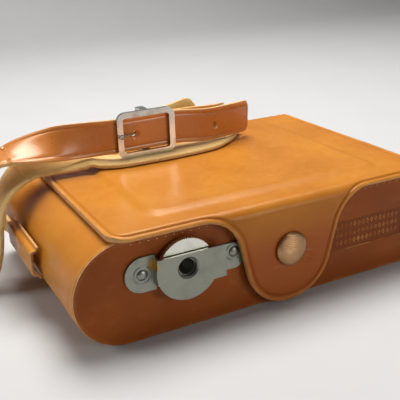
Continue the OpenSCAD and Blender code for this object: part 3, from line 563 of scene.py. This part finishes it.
buckle_nickel = metal("buckle_nickel", (0.60, 0.60, 0.56), (0.26, 0.26, 0.24), rough=0.2, spots=0.5)
bronze = metal("snap_bronze", (0.46, 0.27, 0.135), (0.28, 0.15, 0.07), rough=0.36, spots=0.5)
steel = metal("blued_steel", (0.36, 0.37, 0.40), (0.15, 0.15, 0.17), rough=0.28)
black_enamel = enamel("black_enamel", (0.012, 0.012, 0.013), (0.11, 0.10, 0.09))
covering = pebbled("pebbled_covering", (0.010, 0.009, 0.010), (0.035, 0.032, 0.032))
bellows_cloth = woven("bellows_cloth", (0.006, 0.006, 0.007), (0.03, 0.028, 0.03))
paper = woven("backing_paper", (0.16, 0.02, 0.018), (0.32, 0.05, 0.04), pitch=0.9)
lens_glass = glass("coated_glass", (0.78, 0.86, 0.94))
red_glass = glass("red_glass", (0.75, 0.03, 0.02))
spool_paint = enamel("spool_paint", (0.24, 0.02, 0.018), (0.45, 0.2, 0.12))

HIDE_SET = (orange, edge, case_flesh)
PLATE_SET = (shaded_plate_hide, edge, case_flesh)
STRAP_SET = (strap_hide, strap_edge, flesh)


# --- case: band, plate, corners

def stadium_section():
    """The case's end profile from the left of its mouth, round the back, to the right of its mouth."""
    return (Section(HIDE)
            .line((-mouth_x, case_h), (-end_x, case_h), (0, 1))
            .arc((-end_x, end_r), end_r, 90, 270)
            .line((-end_x, 0), (end_x, 0), (0, -1))
            .arc((end_x, end_r), end_r, -90, 90)
            .line((end_x, case_h), (mouth_x, case_h), (0, 1)))


BULGE_RISE = 2.4                            # moulding over the winding knob
BULGE_FROM, BULGE_TO = 101.0, 166.0         # its edges, in degrees round the left end
BULGE_Y = 18.0                              # where it starts, along y
SEAM_STEP = 0.7                             # the plate stands this far out of the band's end


def bulge(s, y):
    turn = 90 + math.degrees((s - (end_x - mouth_x)) / end_r)
    across = smoothstep((turn - BULGE_FROM) / 22) * smoothstep((BULGE_TO - turn) / 20)
    return BULGE_RISE * across * smoothstep((y - BULGE_Y) / 17)


def case_band():
    section = stadium_section()

    def place(s, y, h):
        x, z = section.at(s, h)
        return x, y, z

    def relief(s, y):
        flat_back = smoothstep((abs(s - section.length / 2) - end_x - 6) / 14)
        return bulge(s, y) + 0.16 * ripple(s, y, 17, 3.1) * flat_back

    near = -half_d + SEAM_STEP
    outline = [(0, near), (section.length, near), (section.length, half_d), (0, half_d)]
    band = sheet("case_band", drawn_in(outline, 1.8), place, HIDE, relief, soft=0.5, step=2.4)
    settle(band, HIDE_SET, "case_leather", "root", "case_shell")


def stadium_loop(inset):
    r = end_r - inset
    return arc((end_x, end_r), r, -90, 90) + arc((-end_x, end_r), r, 90, 270)


STAMP_PITCH, STAMP_RISE = 2.3, 0.5
STAMP_ROWS = ((24.8, 1.7), (21.1, 1.4), (17.5, 1.6))   # height of each row and half its stamp's height
STAMP_MARGIN = 1.6
PLATE_INSET = 0.3


def tooling(x, z):
    """A sunk field with three rows of small lozenges."""
    x0, z0, x1, z1 = FIELD
    depth = smoothstep(min(x - x0, x1 - x, z - z0, z1 - z) / 0.9 + 0.5)
    raised = 0.0
    for row, half in STAMP_ROWS:
        across = abs((x - x0) % STAMP_PITCH - STAMP_PITCH / 2) / (0.5 * STAMP_PITCH)
        shape = 1 - across - abs(z - row) / half
        raised = max(raised, smoothstep(shape / 0.45) - 0.8 * smoothstep((shape - 0.42) / 0.3))
    margin = smoothstep((min(x - x0, x1 - x) - STAMP_MARGIN) / 0.4)
    return depth * (STAMP_RISE * raised * margin - FIELD_DEPTH)


def bottom_panel():
    thick = plate_high.y - plate_low.y

    def place(x, z, h):
        return x, plate_high.y - h, z

    def relief(x, z):
        pulled_in = 0.14 * smoothstep((abs(z - end_r) - 14) / 6)
        return tooling(x, z) + 0.12 * ripple(x, z, 15, 7.7) - pulled_in

    x0, z0, x1, z1 = FIELD
    dense = [(x0 - 1.5, z0 - 1.5, x1 + 1.5, z1 + 1.5, 0.36)]
    panel = sheet("bottom_panel", drawn_in(stadium_loop(PLATE_INSET), 1.6), place, thick, relief,
                  holes=[hole_at(screw.x, screw.z, 5.1)], dense=dense, soft=0.5)
    settle(panel, PLATE_SET, "plate_leather", "root", "bottom_plate")


def corner_panel(side):
    """Closes the far end of the band beside the lid's far wall."""
    r = end_r - 2.5
    inner = mouth_x - 6
    loop = arc((end_x, end_r), r, -90, 90) + [(inner, end_r + r), (inner, end_r - r)]

    def place(x, z, h):
        return side * x, panel_low.y + h, z

    name = "corner_panel_" + ("left" if side < 0 else "right")
    piece = sheet(name, drawn_in(loop, 1.8), place, panel_high.y - panel_low.y, crease=2.2)
    settle(piece, HIDE_SET, "case_leather", "root", "corner_panels")


# --- lid, tongue and far wall

LID_SECTION = (Section(HIDE)
               .line((far_y, cover_low.z), (far_y, lid_top - far_r), (1, 0))
               .arc((far_y - far_r, lid_top - far_r), far_r, 0, 90)
               .line((far_y - far_r, lid_top), (tongue_y + near_r, lid_top), (0, 1))
               .arc((tongue_y + near_r, lid_top - near_r), near_r, 90, 180)
               .line((tongue_y, lid_top - near_r), (tongue_y, -2), (-1, 0)))
FAR_FOLD = LID_SECTION.parts[1][:2]
NEAR_FOLD = LID_SECTION.parts[3][:2]
EDGE_Z = case_h + 0.8                       # the lid's edge beside the tongue
TIP_R, TIP_Z = 20.0, lid_low.z              # round end of the tongue
SLOPE = 76.0                                # its sides, in degrees from the lid's edge
SHOULDER_R = 17.0
LID_CORNER = 8.0
LID_CREASE = 2.3
PANEL_HALF = (53.5, 45.0)                   # half the raised panel, along x and y
PANEL_CORNER, PANEL_SLOPE = 6, 3.2          # radius of its corners and width of its slope
PANEL_RISE = lid_high.z - lid_top
# The tongue below the near fold darkens towards a dark brown as painted shade.
LID_SET = (leather("lid_hide", *ORANGE, painted_shade=(NEAR_FOLD[0] - 3, NEAR_FOLD[1] + 20, (0.30, 0.056, 0.006))),
           edge, case_flesh)


def down(z):
    """Distance along the lid's section of a height on the tongue or on the near fold."""
    rise = z - lid_top + near_r
    return NEAR_FOLD[1] - (near_r * math.asin(rise / near_r) if rise > 0 else rise)


def tongue_side():
    """From the lid's edge down the right shoulder and side to the tip, as (x, z)."""
    lean = math.radians(SLOPE)
    middle = (0.0, TIP_Z + TIP_R)
    shoulder_z = EDGE_Z - SHOULDER_R
    reach = TIP_R - math.cos(lean) * middle[1] + SHOULDER_R
    shoulder = ((reach + math.cos(lean) * shoulder_z) / math.sin(lean), shoulder_z)
    return arc(shoulder, SHOULDER_R, 90, 90 + SLOPE, 3) + arc(middle, TIP_R, SLOPE - 90, -90, 4)


def lid_outline():
    """Right half from the foot of the far wall to the tip of the tongue, then its mirror image."""
    cover_x, cover_r = 72.0, 9.0
    edge_at = down(EDGE_Z)
    right = [(0.0, 0.0)] + arc((cover_x - cover_r, cover_r), cover_r, -90, 0)
    right += [(cover_x, FAR_FOLD[0] - 3), (cover_x + 0.8, FAR_FOLD[0]), (lid_half - 0.2, FAR_FOLD[1] + 1),
              (lid_half, FAR_FOLD[1] + 4)]
    right += arc((lid_half - LID_CORNER, edge_at - LID_CORNER), LID_CORNER, 0, 90, 6)
    right += [(x, down(z)) for x, z in tongue_side()]
    return right + [(-x, b) for x, b in reversed(right[1:-1])]


# Wrinkles round the snap: where from its middle, the way each runs in degrees, its length and depth
WRINKLES = ((8.5, -3.2, -9, 5.5, 0.42), (8.8, -5.8, -17, 6.5, 0.50), (7.6, -8.6, -28, 5.0, 0.38),
            (-7.0, -7.6, 24, 4.5, 0.30), (7.5, -0.6, 4, 4.0, 0.20))


def wrinkled(x, z):
    """Height of the wrinkles: each a fold with a furrow below it."""
    total = 0.0
    for dx, dz, turn, length, depth in WRINKLES:
        c, q = math.cos(math.radians(turn)), math.sin(math.radians(turn))
        u, v = x - snap.x - dx, z - snap.z - dz
        along, off = u * c + v * q, -u * q + v * c
        fold = math.exp(-(off / 0.7) ** 2) - 0.9 * math.exp(-((off - 1.2) / 0.6) ** 2)
        total += depth * math.exp(-(along / length * 1.6) ** 2) * fold
    return total


def lid_leather():
    def place(x, s, h):
        y, z = LID_SECTION.at(s, h)
        return x, y, z

    def relief(x, s):
        y, z = LID_SECTION.at(s, HIDE)
        swell = 0.22 * ripple(x, s, 24, 1.3) + 0.05 * ripple(x, s, 6, 4.2)
        if FAR_FOLD[1] < s < NEAR_FOLD[0]:
            half_x, half_y = PANEL_HALF
            gap = rounded_gap(x, y, half_x, half_y, PANEL_CORNER)
            sag = 0.35 * math.cos(x / half_x * 1.4) * math.cos(y / half_y * 1.4) * smoothstep(gap / 10)
            return PANEL_RISE * 0.95 * smoothstep(gap / PANEL_SLOPE + 0.45) - sag + 0.6 * swell
        if s > NEAR_FOLD[1]:
            reach = math.hypot(x - snap.x, z - snap.z)
            dimple = 0.45 * math.exp(-((reach - 5.5) / 2.4) ** 2)
            swell += wrinkled(x, z) - dimple + 0.35 * math.exp(-((z - 34) / 7) ** 2) * math.cos(x / 24)
        return swell * 0.8

    fine = [(-15, down(36), 19, down(6), 0.45), (-60, FAR_FOLD[0] - 1, 60, FAR_FOLD[1] + 1, 1.3),
            (-64, NEAR_FOLD[0] - 1, 64, NEAR_FOLD[1] - 0.6, 1.2)]
    piece = sheet("lid_leather", drawn_in(lid_outline(), 1.2), place, HIDE, relief, crease=LID_CREASE,
                  groove=0.7, holes=[hole_at(snap.x, down(snap.z), 3.4)], dense=fine, step=1.9)
    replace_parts(dress(piece, LID_SET), "lid_flap", "top_cover")
    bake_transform(piece)


def back_fold():
    """The strip of leather that joins the back of the case to the far wall."""
    low, high = box_mm("back_hinge")
    thick = 1.5
    radius = 2.3
    section = (Section(thick)
               .line((half_d - 0.2, 0.0), (high.y - radius, 0.0), (0, -1))
               .arc((high.y - radius, radius), radius, -90, 0)
               .line((high.y, radius), (high.y, cover_low.z + 1.6), (1, 0)))

    def place(x, s, h):
        y, z = section.at(s, h)
        return x, y, z

    outline = [(low.x, 0), (high.x, 0), (high.x, section.length), (low.x, section.length)]
    piece = sheet("back_fold", drawn_in(outline, 1.6), place, thick, soft=0.3, step=1.2)
    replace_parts(dress(piece, HIDE_SET), "back_hinge")
    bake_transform(piece)


def lining(node, name, body, nap):
    """The napped lining of the case or the lid; nap is 1 where its nap faces up and -1 where down."""
    low, high = box_mm(node)
    base = low.z if nap > 0 else high.z
    loop = [(low.x + 3, low.y), (high.x - 3, low.y), (high.x, low.y + 3), (high.x, high.y - 3),
            (high.x - 3, high.y), (low.x + 3, high.y), (low.x, high.y - 3), (low.x, low.y + 3)]
    piece = sheet(name, drawn_in(loop, 2.5), lambda x, y, h: (x, y, base + nap * h), high.z - low.z,
                  lambda x, y: 0.05 * ripple(x, y, 5, 9.0) - 0.05, soft=0.2, step=3.0)
    settle(piece, (nap_lining,) * 3, "lining", body, node)


# --- stitching

STITCH, STITCH_PITCH, THREAD_R = 0.6, 3.4, 0.13


def stitch(x, y, z, rings=5, sides=6):
    """One stitch along x: a short fat thread that bows up out of the leather."""
    bow = 0.06
    verts = []
    for k in range(rings + 1):
        swell = math.sin(math.pi * k / rings)
        r = THREAD_R * (0.45 + 0.55 * swell ** 0.5)
        for i in range(sides):
            a = 2 * math.pi * i / sides
            rise = bow * (swell - 0.35) + r * math.sin(a)
            verts.append((x + STITCH * k / rings, y - rise, z + r * math.cos(a)))
    return verts, turned_faces(rings + 1, sides)


def plate_stitching():
    count = int((2 * mouth_x - STITCH) / STITCH_PITCH) + 1
    row = [stitch(STITCH_PITCH * k - mouth_x, plate_low.y - 0.02, plate_high.z - 1.1) for k in range(count)]
    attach(dress(joined("plate_stitching", row), [thread]), "root")


# --- keepers

KEEPER_WALL = 1.1
KEEPER_HALF = 5.5


def keeper(side, low, high, node):
    """A loop of thin leather with a narrow flange above and below."""
    out = max(abs(low.x), abs(high.x))
    foot = half_l + 0.05 + KEEPER_WALL
    middle = (low.z + high.z) / 2
    top, bottom = middle + KEEPER_HALF, middle - KEEPER_HALF
    bend = 1.4
    section = (Section(KEEPER_WALL)
               .line((foot, high.z), (foot, top + 0.05), (1, 0))
               .line((foot, top), (out - bend, top), (0, 1))
               .arc((out - bend, top - bend), bend, 90, 0)
               .line((out, top - bend), (out, bottom + bend), (1, 0))
               .arc((out - bend, bottom + bend), bend, 0, -90)
               .line((out - bend, bottom), (foot, bottom), (0, -1))
               .line((foot, bottom - 0.05), (foot, low.z), (1, 0)))

    def place(s, y, h):
        x, z = section.at(s, h)
        return side * x, y, z

    loop = [(0, low.y), (section.length, low.y), (section.length, high.y), (0, high.y)]
    piece = sheet(node + "_leather", drawn_in(loop, 0.9), place, KEEPER_WALL, soft=0.3, step=1.1,
                  relief=lambda a, b: 0.05 * ripple(a, b, 5, 2.0))
    settle(piece, HIDE_SET, "case_leather", "root", node)


# --- straps

STRAP = 1.7
UP, DOWN, BACK = (0, 0, 1), (0, 0, -1), (0, 1, 0)
WIDE = 15.5


def catmull(points, t):
    i = min(len(points) - 2, int(t))
    f = t - i
    a, b, c, d = (points[max(0, min(len(points) - 1, i + k))] for k in (-1, 0, 1, 2))
    bend = (2 * a - 5 * b + 4 * c - d) * f ** 2 + (3 * b - a - 3 * c + d) * f ** 3
    return 0.5 * (2 * b + (c - a) * f + bend)


class Path:
    """A strap's course through stations (centre, direction of its width), by length along it. A third
    value is the strap's width there."""

    def __init__(self, stations, steps=14):
        rows = np.array([[*centre, *across, *(size or [WIDE])] for centre, across, *size in stations], float)
        spans = len(rows) - 1
        fine = np.array([catmull(rows, t) for t in np.linspace(0, spans, spans * steps + 1)])
        self.centre = fine[:, :3]
        self.tangent = unit_rows(np.gradient(self.centre, axis=0))
        across = fine[:, 3:6]
        self.across = unit_rows(across - self.tangent * (across * self.tangent).sum(axis=1)[:, None])
        self.width = fine[:, 6]
        step = np.linalg.norm(np.diff(self.centre, axis=0), axis=1)
        self.s = np.concatenate(([0], np.cumsum(step)))
        self.length = float(self.s[-1])

    def at(self, s, b, h):
        def pick(rows):
            return np.array([np.interp(s, self.s, rows[:, k]) for k in range(3)])
        centre, across, tangent = pick(self.centre), pick(self.across), pick(self.tangent)
        normal = np.cross(tangent, across)
        normal /= np.linalg.norm(normal)
        centre = centre + tangent * (min(0, s) + max(0, s - self.length))
        return tuple(centre + across * b / np.linalg.norm(across) + normal * (h - STRAP / 2))

    def width_at(self, s):
        return float(np.interp(s, self.s, self.width))


def strap_piece(name, path, start, end, free_start=False, free_end=False, holes=(), corner=3.2):
    """The part of a strap between two lengths. A free end has rounded corners; the other kind meets
    the next part of the same strap."""
    count = max(4, round((end - start) / 1.6))

    def ring(d):
        a0, a1 = start + d * free_start, end - d * free_end
        low, high = [], []
        for i in range(count + 1):
            share = i / count
            a = a0 + (a1 - a0) * share
            half = path.width_at(a) / 2 - d
            for free, gap in ((free_start, a - a0), (free_end, a1 - a)):
                r = max(0.3, corner - d)
                if free and gap < r:
                    half -= r - math.sqrt(max(0.0, r * r - (r - gap) ** 2))
            low.append((a, -half))
            high.append((a, half))
        return low + high[::-1]

    piece = sheet(name, ring, path.at, STRAP, lambda a, b: 0.07 * ripple(a, b, 9, 5.0), crease=1.9,
                  holes=holes, soft=0.35, step=1.8)
    dress(piece, STRAP_SET)
    return piece


strap_y = frame_low.y + 2.8                 # middle of the holed strap where it lies in the buckle
strap_on = lid_high.z + STRAP / 2 + 0.1     # middle of a strap that lies on the lid
loop_r = 0.9 + 0.25 + STRAP / 2             # radius of the strap's turn round the buckle's pin
table = STRAP / 2 + 0.1                     # middle of a strap that lies on the table
KEEPER_STRAP = 6.8                          # width of a strap's end in its keeper


def holed_path():
    """From the left keeper, round behind the end of the case and through the buckle."""
    x, z = -90.65, (left_low.z + left_high.z) / 2
    return Path([
        ((x, -8, z), UP, KEEPER_STRAP), ((x, 8, z), UP, KEEPER_STRAP), ((x, 24, z), UP, KEEPER_STRAP),
        ((x, 29, z), UP, KEEPER_STRAP), ((-92.5, 42, z + 1), UP, 11), ((-98, 51.5, z + 4.5), UP),
        ((-107, 53, 31), (0.2, -0.3, 1)), ((-113.5, 45, 38), (0.6, -0.2, 1)),
        ((-113, 34, 45), (0.8, 0.3, 1)), ((-105, 25.5, 52), (0.4, 0.9, 0.5)),
        ((-94, 21.5, 56), (0, 1, 0.1)), ((-84, 21.2, 57.8), (0, 1, 0.45)),
        ((-73, 20.7, 58.6), (0.05, 0.85, 0.9)), ((-64, 20, 58.9), (0, 0.35, 1)),
        ((-52, 19.2, 58.6), (0, 0.1, 1)), ((-42, strap_y, buckle.z), UP),
        ((buckle.x, strap_y, buckle.z), UP), ((-12, strap_y, buckle.z), UP), ((4, 19, 56.8), UP),
        ((20, 21.5, 56.6), UP), ((31, 25.5, 56.2), UP)])


def buckled_path():
    """Folded round the buckle's pin, turned over beyond the holed end, flat along the lid, down the
    end of the case and round behind it to the right keeper."""
    inner, outer = pin_y + loop_r, pin_y - loop_r
    stations = [((x, inner, buckle.z + lift), UP)
                for x, lift in ((2, 4.5), (-8, 2.3), (-16, 0.5), (-20, 0))]
    for degrees in range(60, 301, 40):
        turn = math.radians(degrees)
        spot = (buckle.x + loop_r * math.cos(turn), pin_y + loop_r * math.sin(turn), buckle.z)
        stations.append((spot, UP))
    stations += [
        ((-18, outer, buckle.z), UP), ((-5, outer + 0.4, buckle.z - 0.2), UP), ((6, 22.7, 57.2), UP),
        ((14, 26, 56.3), UP), ((20, 30.5, 55), (0, 0.15, 1)), ((25, 35, 52), (0, 0.8, 1)),
        ((25.5, 34.8, 49.4), (0, 1, 0.35)), ((20, 30.5, 47.5), (0, 1, 0.02)),
        ((11, 23, strap_on + 0.2), BACK), ((2, 18.8, strap_on), BACK), ((-16, 17, strap_on), BACK),
        ((-30, 17, strap_on + 0.08), BACK), ((-41, 17.6, strap_on + 0.04), BACK),
        ((-49, 19.4, 48.3), (0, 1, 0.15)), ((-55, 21.5, 50.4), (0, 1, 0.42)),
        ((-66, 22, 51), (0, 1, 0.6)), ((-74, 22.5, 51.3), (0, 1, 0.63)),
        ((-80, 22.2, 50.4), (0, 1, 0.52)), ((-87, 20.6, 47), (0, 1, 0.3)),
        ((-93.3, 18.6, 41), (0, 1, 0.1)), ((-97, 17.6, 30.5), BACK), ((-99.5, 17, 17), BACK),
        ((-105, 19, 5.5), BACK), ((-116, 27, 1.8), (0.4, 1, 0)), ((-127, 42, table), (1, 0.4, 0)),
        ((-127, 66, table), (1, -0.2, 0)), ((-113, 88, table), (0.8, -0.7, 0)),
        ((-85, 100, table), (0.3, -1, 0)), ((-40, 104, table), (0, -1, 0)),
        ((40, 104, table), (0, -1, 0)), ((85, 98, table), (-0.3, -1, 0)),
        ((110, 82, table), (-0.8, -0.6, 0)), ((117, 62, 2.6), (-1, 0, -0.1)),
        ((110, 46, 9), (-1, 0.2, -0.8), 14), ((98, 38, 17), (-0.4, 0, -1), 11)]
    z = (right_low.z + right_high.z) / 2
    stations += [((90.65, y, z), DOWN, KEEPER_STRAP) for y in (30, 25, 16, 4, -8)]
    return Path(stations)


def length_where(path, test):
    """Length along the path at the first point whose (x, y, z) passes the test."""
    return next(float(s) for s, centre in zip(path.s, path.centre) if test(*centre))


def laid(piece, node, one, two, start, end):
    """Puts a part of a strap in its node's place."""
    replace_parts(piece, node)
    Vector(start) * MM
    Vector(end) * MM
    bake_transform(piece)


def straps():
    holed, buckled = holed_path(), buckled_path()
    slack_bend = ("root", "top_cover", (0, 0, 24), (0, 0, 44))

    cut = length_where(holed, lambda x, y, z: x > -90 and z > 45)
    slack = strap_piece("strap_holed_slack_leather", holed, 0.0, cut, free_start=True, corner=1.0)
    laid(slack, "strap_holed_slack", *slack_bend)
    at_buckle = length_where(holed, lambda x, y, z: x > buckle.x and z > 45)
    holes = [hole_at(at_buckle + 35.5, -0.4, 1.0), hole_at(at_buckle - 6.5, 0, 1.3)]
    top = strap_piece("strap_holed_leather", holed, cut, holed.length, free_end=True, holes=holes,
                      corner=2.6)
    laid(top, "strap_holed", "top_cover", "lid", (-90, 0, 0), (-66, 0, 0))

    cut = length_where(buckled, lambda x, y, z: x < -85 and z > 30)
    top = strap_piece("strap_buckled_leather", buckled, 0.0, cut, free_start=True, corner=5.0)
    laid(top, "strap_buckled", "top_cover", "lid", (-85, 0, 0), (-70, 0, 0))
    slack = strap_piece("strap_buckled_slack_leather", buckled, cut, buckled.length, free_end=True,
                        corner=1.0)
    laid(slack, "strap_buckled_slack", *slack_bend)


# --- metal pieces

def turned_faces(rings, sides):
    """Faces of a solid made of rings of points, with a flat face on each end."""
    faces = []
    for low in range(0, (rings - 1) * sides, sides):
        for i in range(sides):
            j = (i + 1) % sides
            faces.append((low + i, low + j, low + sides + j, low + sides + i))
    return faces + [tuple(range(sides)), tuple(range((rings - 1) * sides, rings * sides))]


def lathe(profile, centre, axis, sides=48):
    """A solid turned about an axis: profile holds (radius, height) from its foot to its top."""
    axis = Vector(axis)
    one = axis.orthogonal().normalized()
    two = axis.cross(one)
    verts = []
    for r, h in profile:
        for i in range(sides):
            a = 2 * math.pi * i / sides
            verts.append(tuple(Vector(centre) + axis * h + (one * math.cos(a) + two * math.sin(a)) * r))
    return verts, turned_faces(len(profile), sides)


def snap_button():
    """The snap's cap: a low dome with fine rolled ridges across it."""
    radius = (cap_high.x - cap_low.x) / 2
    height = cap_high.y - cap_low.y
    ridge_pitch, rings, sides = 0.7, 76, 168
    turns = [2 * math.pi * i / sides for i in range(sides)]
    verts = []
    for k in range(1, rings + 1):
        r = radius * math.sin(math.pi / 2 * k / rings)
        dome = height * (0.42 + 0.58 * math.sqrt(max(0.0, 1 - (r / radius) ** 2)))
        depth = 0.06 * smoothstep((radius - r) / 0.9)
        for a in turns:
            x, z = r * math.cos(a), r * math.sin(a)
            ridge = depth * math.cos(2 * math.pi * (z + 0.12 * x) / ridge_pitch)
            verts.append((snap.x + x, cap_high.y - dome - ridge, snap.z + z))
    for r, h in ((radius + 0.05, 0.30 * height), (radius - 0.15, 0.12 * height), (radius - 0.6, 0.02)):
        verts += [(snap.x + r * math.cos(a), cap_high.y - h, snap.z + r * math.sin(a)) for a in turns]
    button = solid("snap_button", verts, turned_faces(len(verts) // sides, sides))
    settle(button, [bronze], "bronze", "lid", "snap_cap")


def rivets():
    """Domed rivet heads in a pressed ring on the bracket's tabs."""
    low, high = box_mm("bracket_rivets")
    parts = []
    for x in (low.x + 2.5, high.x - 2.5):
        z = (low.z + high.z) / 2
        dome = [(0.02, 0.85), (0.8, 0.8), (1.5, 0.6), (2.05, 0.25), (2.2, 0.0), (2.2, -0.1), (1.15, -0.1),
                (1.15, low.y - high.y + 1.2)]
        parts.append(lathe(dome[::-1], (x, low.y + 0.4, z), (0, -1, 0)))
        ring = [(3.1, -0.05), (3.15, 0.1), (3.35, 0.2), (3.6, 0.1), (3.65, -0.05)]
        parts.append(tube_ring(ring, (x, low.y + 0.4, z), (0, -1, 0)))
    settle(joined("rivet_heads", parts), [nickel], "nickel", "root", "bracket_rivets")


def tube_ring(profile, centre, axis, sides=48):
    """A closed ring turned about an axis, its own section going round the profile."""
    verts, faces = lathe(profile, centre, axis, sides)
    last = (len(profile) - 1) * sides
    join = [(last + i, last + (i + 1) % sides, (i + 1) % sides, i) for i in range(sides)]
    return verts, faces[:-2] + join


FINISHES = {
    nickel: ("bracket", "retaining_screw", "screw_washer", "tripod_bush"),
    bright_nickel: ("retaining_wheel", "snap_socket", "snap_stud", "buckle_prong", "winding_knob",
                    "top_housing", "speed_ring", "shutter_case", "release_button", "aperture_lever",
                    "cocking_lever", "window_cover"),
    buckle_nickel: ("buckle_frame", "buckle_pin"),
    steel: ("back_hinge_pin", "bed_hinge_pin", "bed_struts", "shutter_blades", "iris_blades", "spool_pins",
            "roller_left", "roller_right", "roller_pins", "pressure_springs", "release_spring"),
    black_enamel: ("bed_door", "focus_ring", "lens_board", "pressure_plate"),
    covering: ("camera_body", "back_door"),
    bellows_cloth: ("bellows",),
    lens_glass: ("front_lens", "rear_lens", "finder_lenses"),
    red_glass: ("red_window",),
    spool_paint: ("takeup_spool", "feed_spool"),
    paper: ("film_roll", "film_strip"),
}


# Width of the broken edges of CAD pieces, whose meshes stay as they are underneath
BROKEN_EDGES = {"bracket": 0.22, "retaining_screw": 0.15, "buckle_frame": 0.55, "retaining_wheel": 0.15,
                "buckle_prong": 0.2, "winding_knob": 0.2, "top_housing": 0.5, "bed_door": 0.35}


def cad_finishes():
    for material, names in FINISHES.items():
        for name in names:
            for place in nodes[name].material_slots:
                place.material = material
    for name, width in BROKEN_EDGES.items():
        bevel = nodes[name].modifiers.new("broken_edges", "BEVEL")
        bevel.width = width * MM
        bevel.segments = 2
        bevel.limit_method = "ANGLE"
        bevel.angle_limit = math.radians(35)


# --- studio

def studio():
    scene = bpy.context.scene
    scene.view_settings.view_transform = "Standard"
    scene.view_settings.look = "None"

    reach, back, rise, curve = 1600, 1100, 1200, 400
    profile = [(-reach, 0)] + arc((back - curve, curve), curve, -90, 0, 9) + [(back, rise)]
    verts = [(side * reach, y, z - 0.2) for y, z in profile for side in (-1, 1)]
    faces = [(2 * i, 2 * i + 1, 2 * i + 3, 2 * i + 2) for i in range(len(profile) - 1)]
    floor = solid("studio_floor", verts, faces)
    s = Shader("studio_paper")
    paper_tone = s.blend(s.noise(s.coords(False), 60.0, 3.0), (0.50, 0.50, 0.50), (0.54, 0.54, 0.545))
    dress(floor, [s.done(Base_Color=paper_tone, Roughness=0.8)])

    world = bpy.data.worlds.new("studio_air")
    scene.world = world
    world.use_nodes = True
    air = world.node_tree.nodes["Background"].inputs
    air["Color"].default_value = (0.92, 0.95, 1.0, 1)
    air["Strength"].default_value = 0.10

    middle = Vector((-20, 0, 20)) * MM
    for name, place, size, power, colour in (
            ("key_light", (0.10, 0.22, 0.85), 0.55, 12.0, (1.0, 0.98, 0.95)),
            ("left_light", (-0.90, 0.25, 0.50), 0.4, 3.2, (1.0, 0.98, 0.96)),
            ("front_light", (0.36, -0.79, 0.29), 0.3, 1.9, (1.0, 0.97, 0.94))):
        lamp = bpy.data.lights.new(name, "AREA")
        lamp.shape = "SQUARE"
        lamp.size = size
        lamp.energy = power
        lamp.color = colour
        obj = bpy.data.objects.new(name, lamp)
        obj.location = place
        obj.rotation_euler = (middle - Vector(place)).to_track_quat("-Z", "Y").to_euler()
        scene.collection.objects.link(obj)

    camera = bpy.data.cameras.new("camera_view")
    camera.sensor_width = 36.0
    camera.lens = 62.31
    camera.clip_start = 0.01
    viewer = bpy.data.objects.new("camera_view", camera)
    viewer.location = Vector((-144.85, -262.64, 141.6)) * MM
    turn, pitch, roll = (math.radians(a) for a in (-27.19, 21.12, -2.0))
    ahead = Vector((-math.sin(turn) * math.cos(pitch), math.cos(turn) * math.cos(pitch), -math.sin(pitch)))
    viewer.rotation_euler = (ahead.to_track_quat("-Z", "Y") @ Quaternion((0, 0, 1), roll)).to_euler()
    scene.collection.objects.link(viewer)
    scene.camera = viewer


case_band()
bottom_panel()
corner_panel(-1)
corner_panel(1)
lid_leather()
back_fold()
lining("case_lining", "case_nap", "root", 1)
lining("lid_lining", "lid_nap", "lid", -1)
plate_stitching()
keeper(-1, left_low, left_high, "left_keeper")
keeper(1, right_low, right_high, "right_keeper")
straps()
snap_button()
rivets()
cad_finishes()
studio()
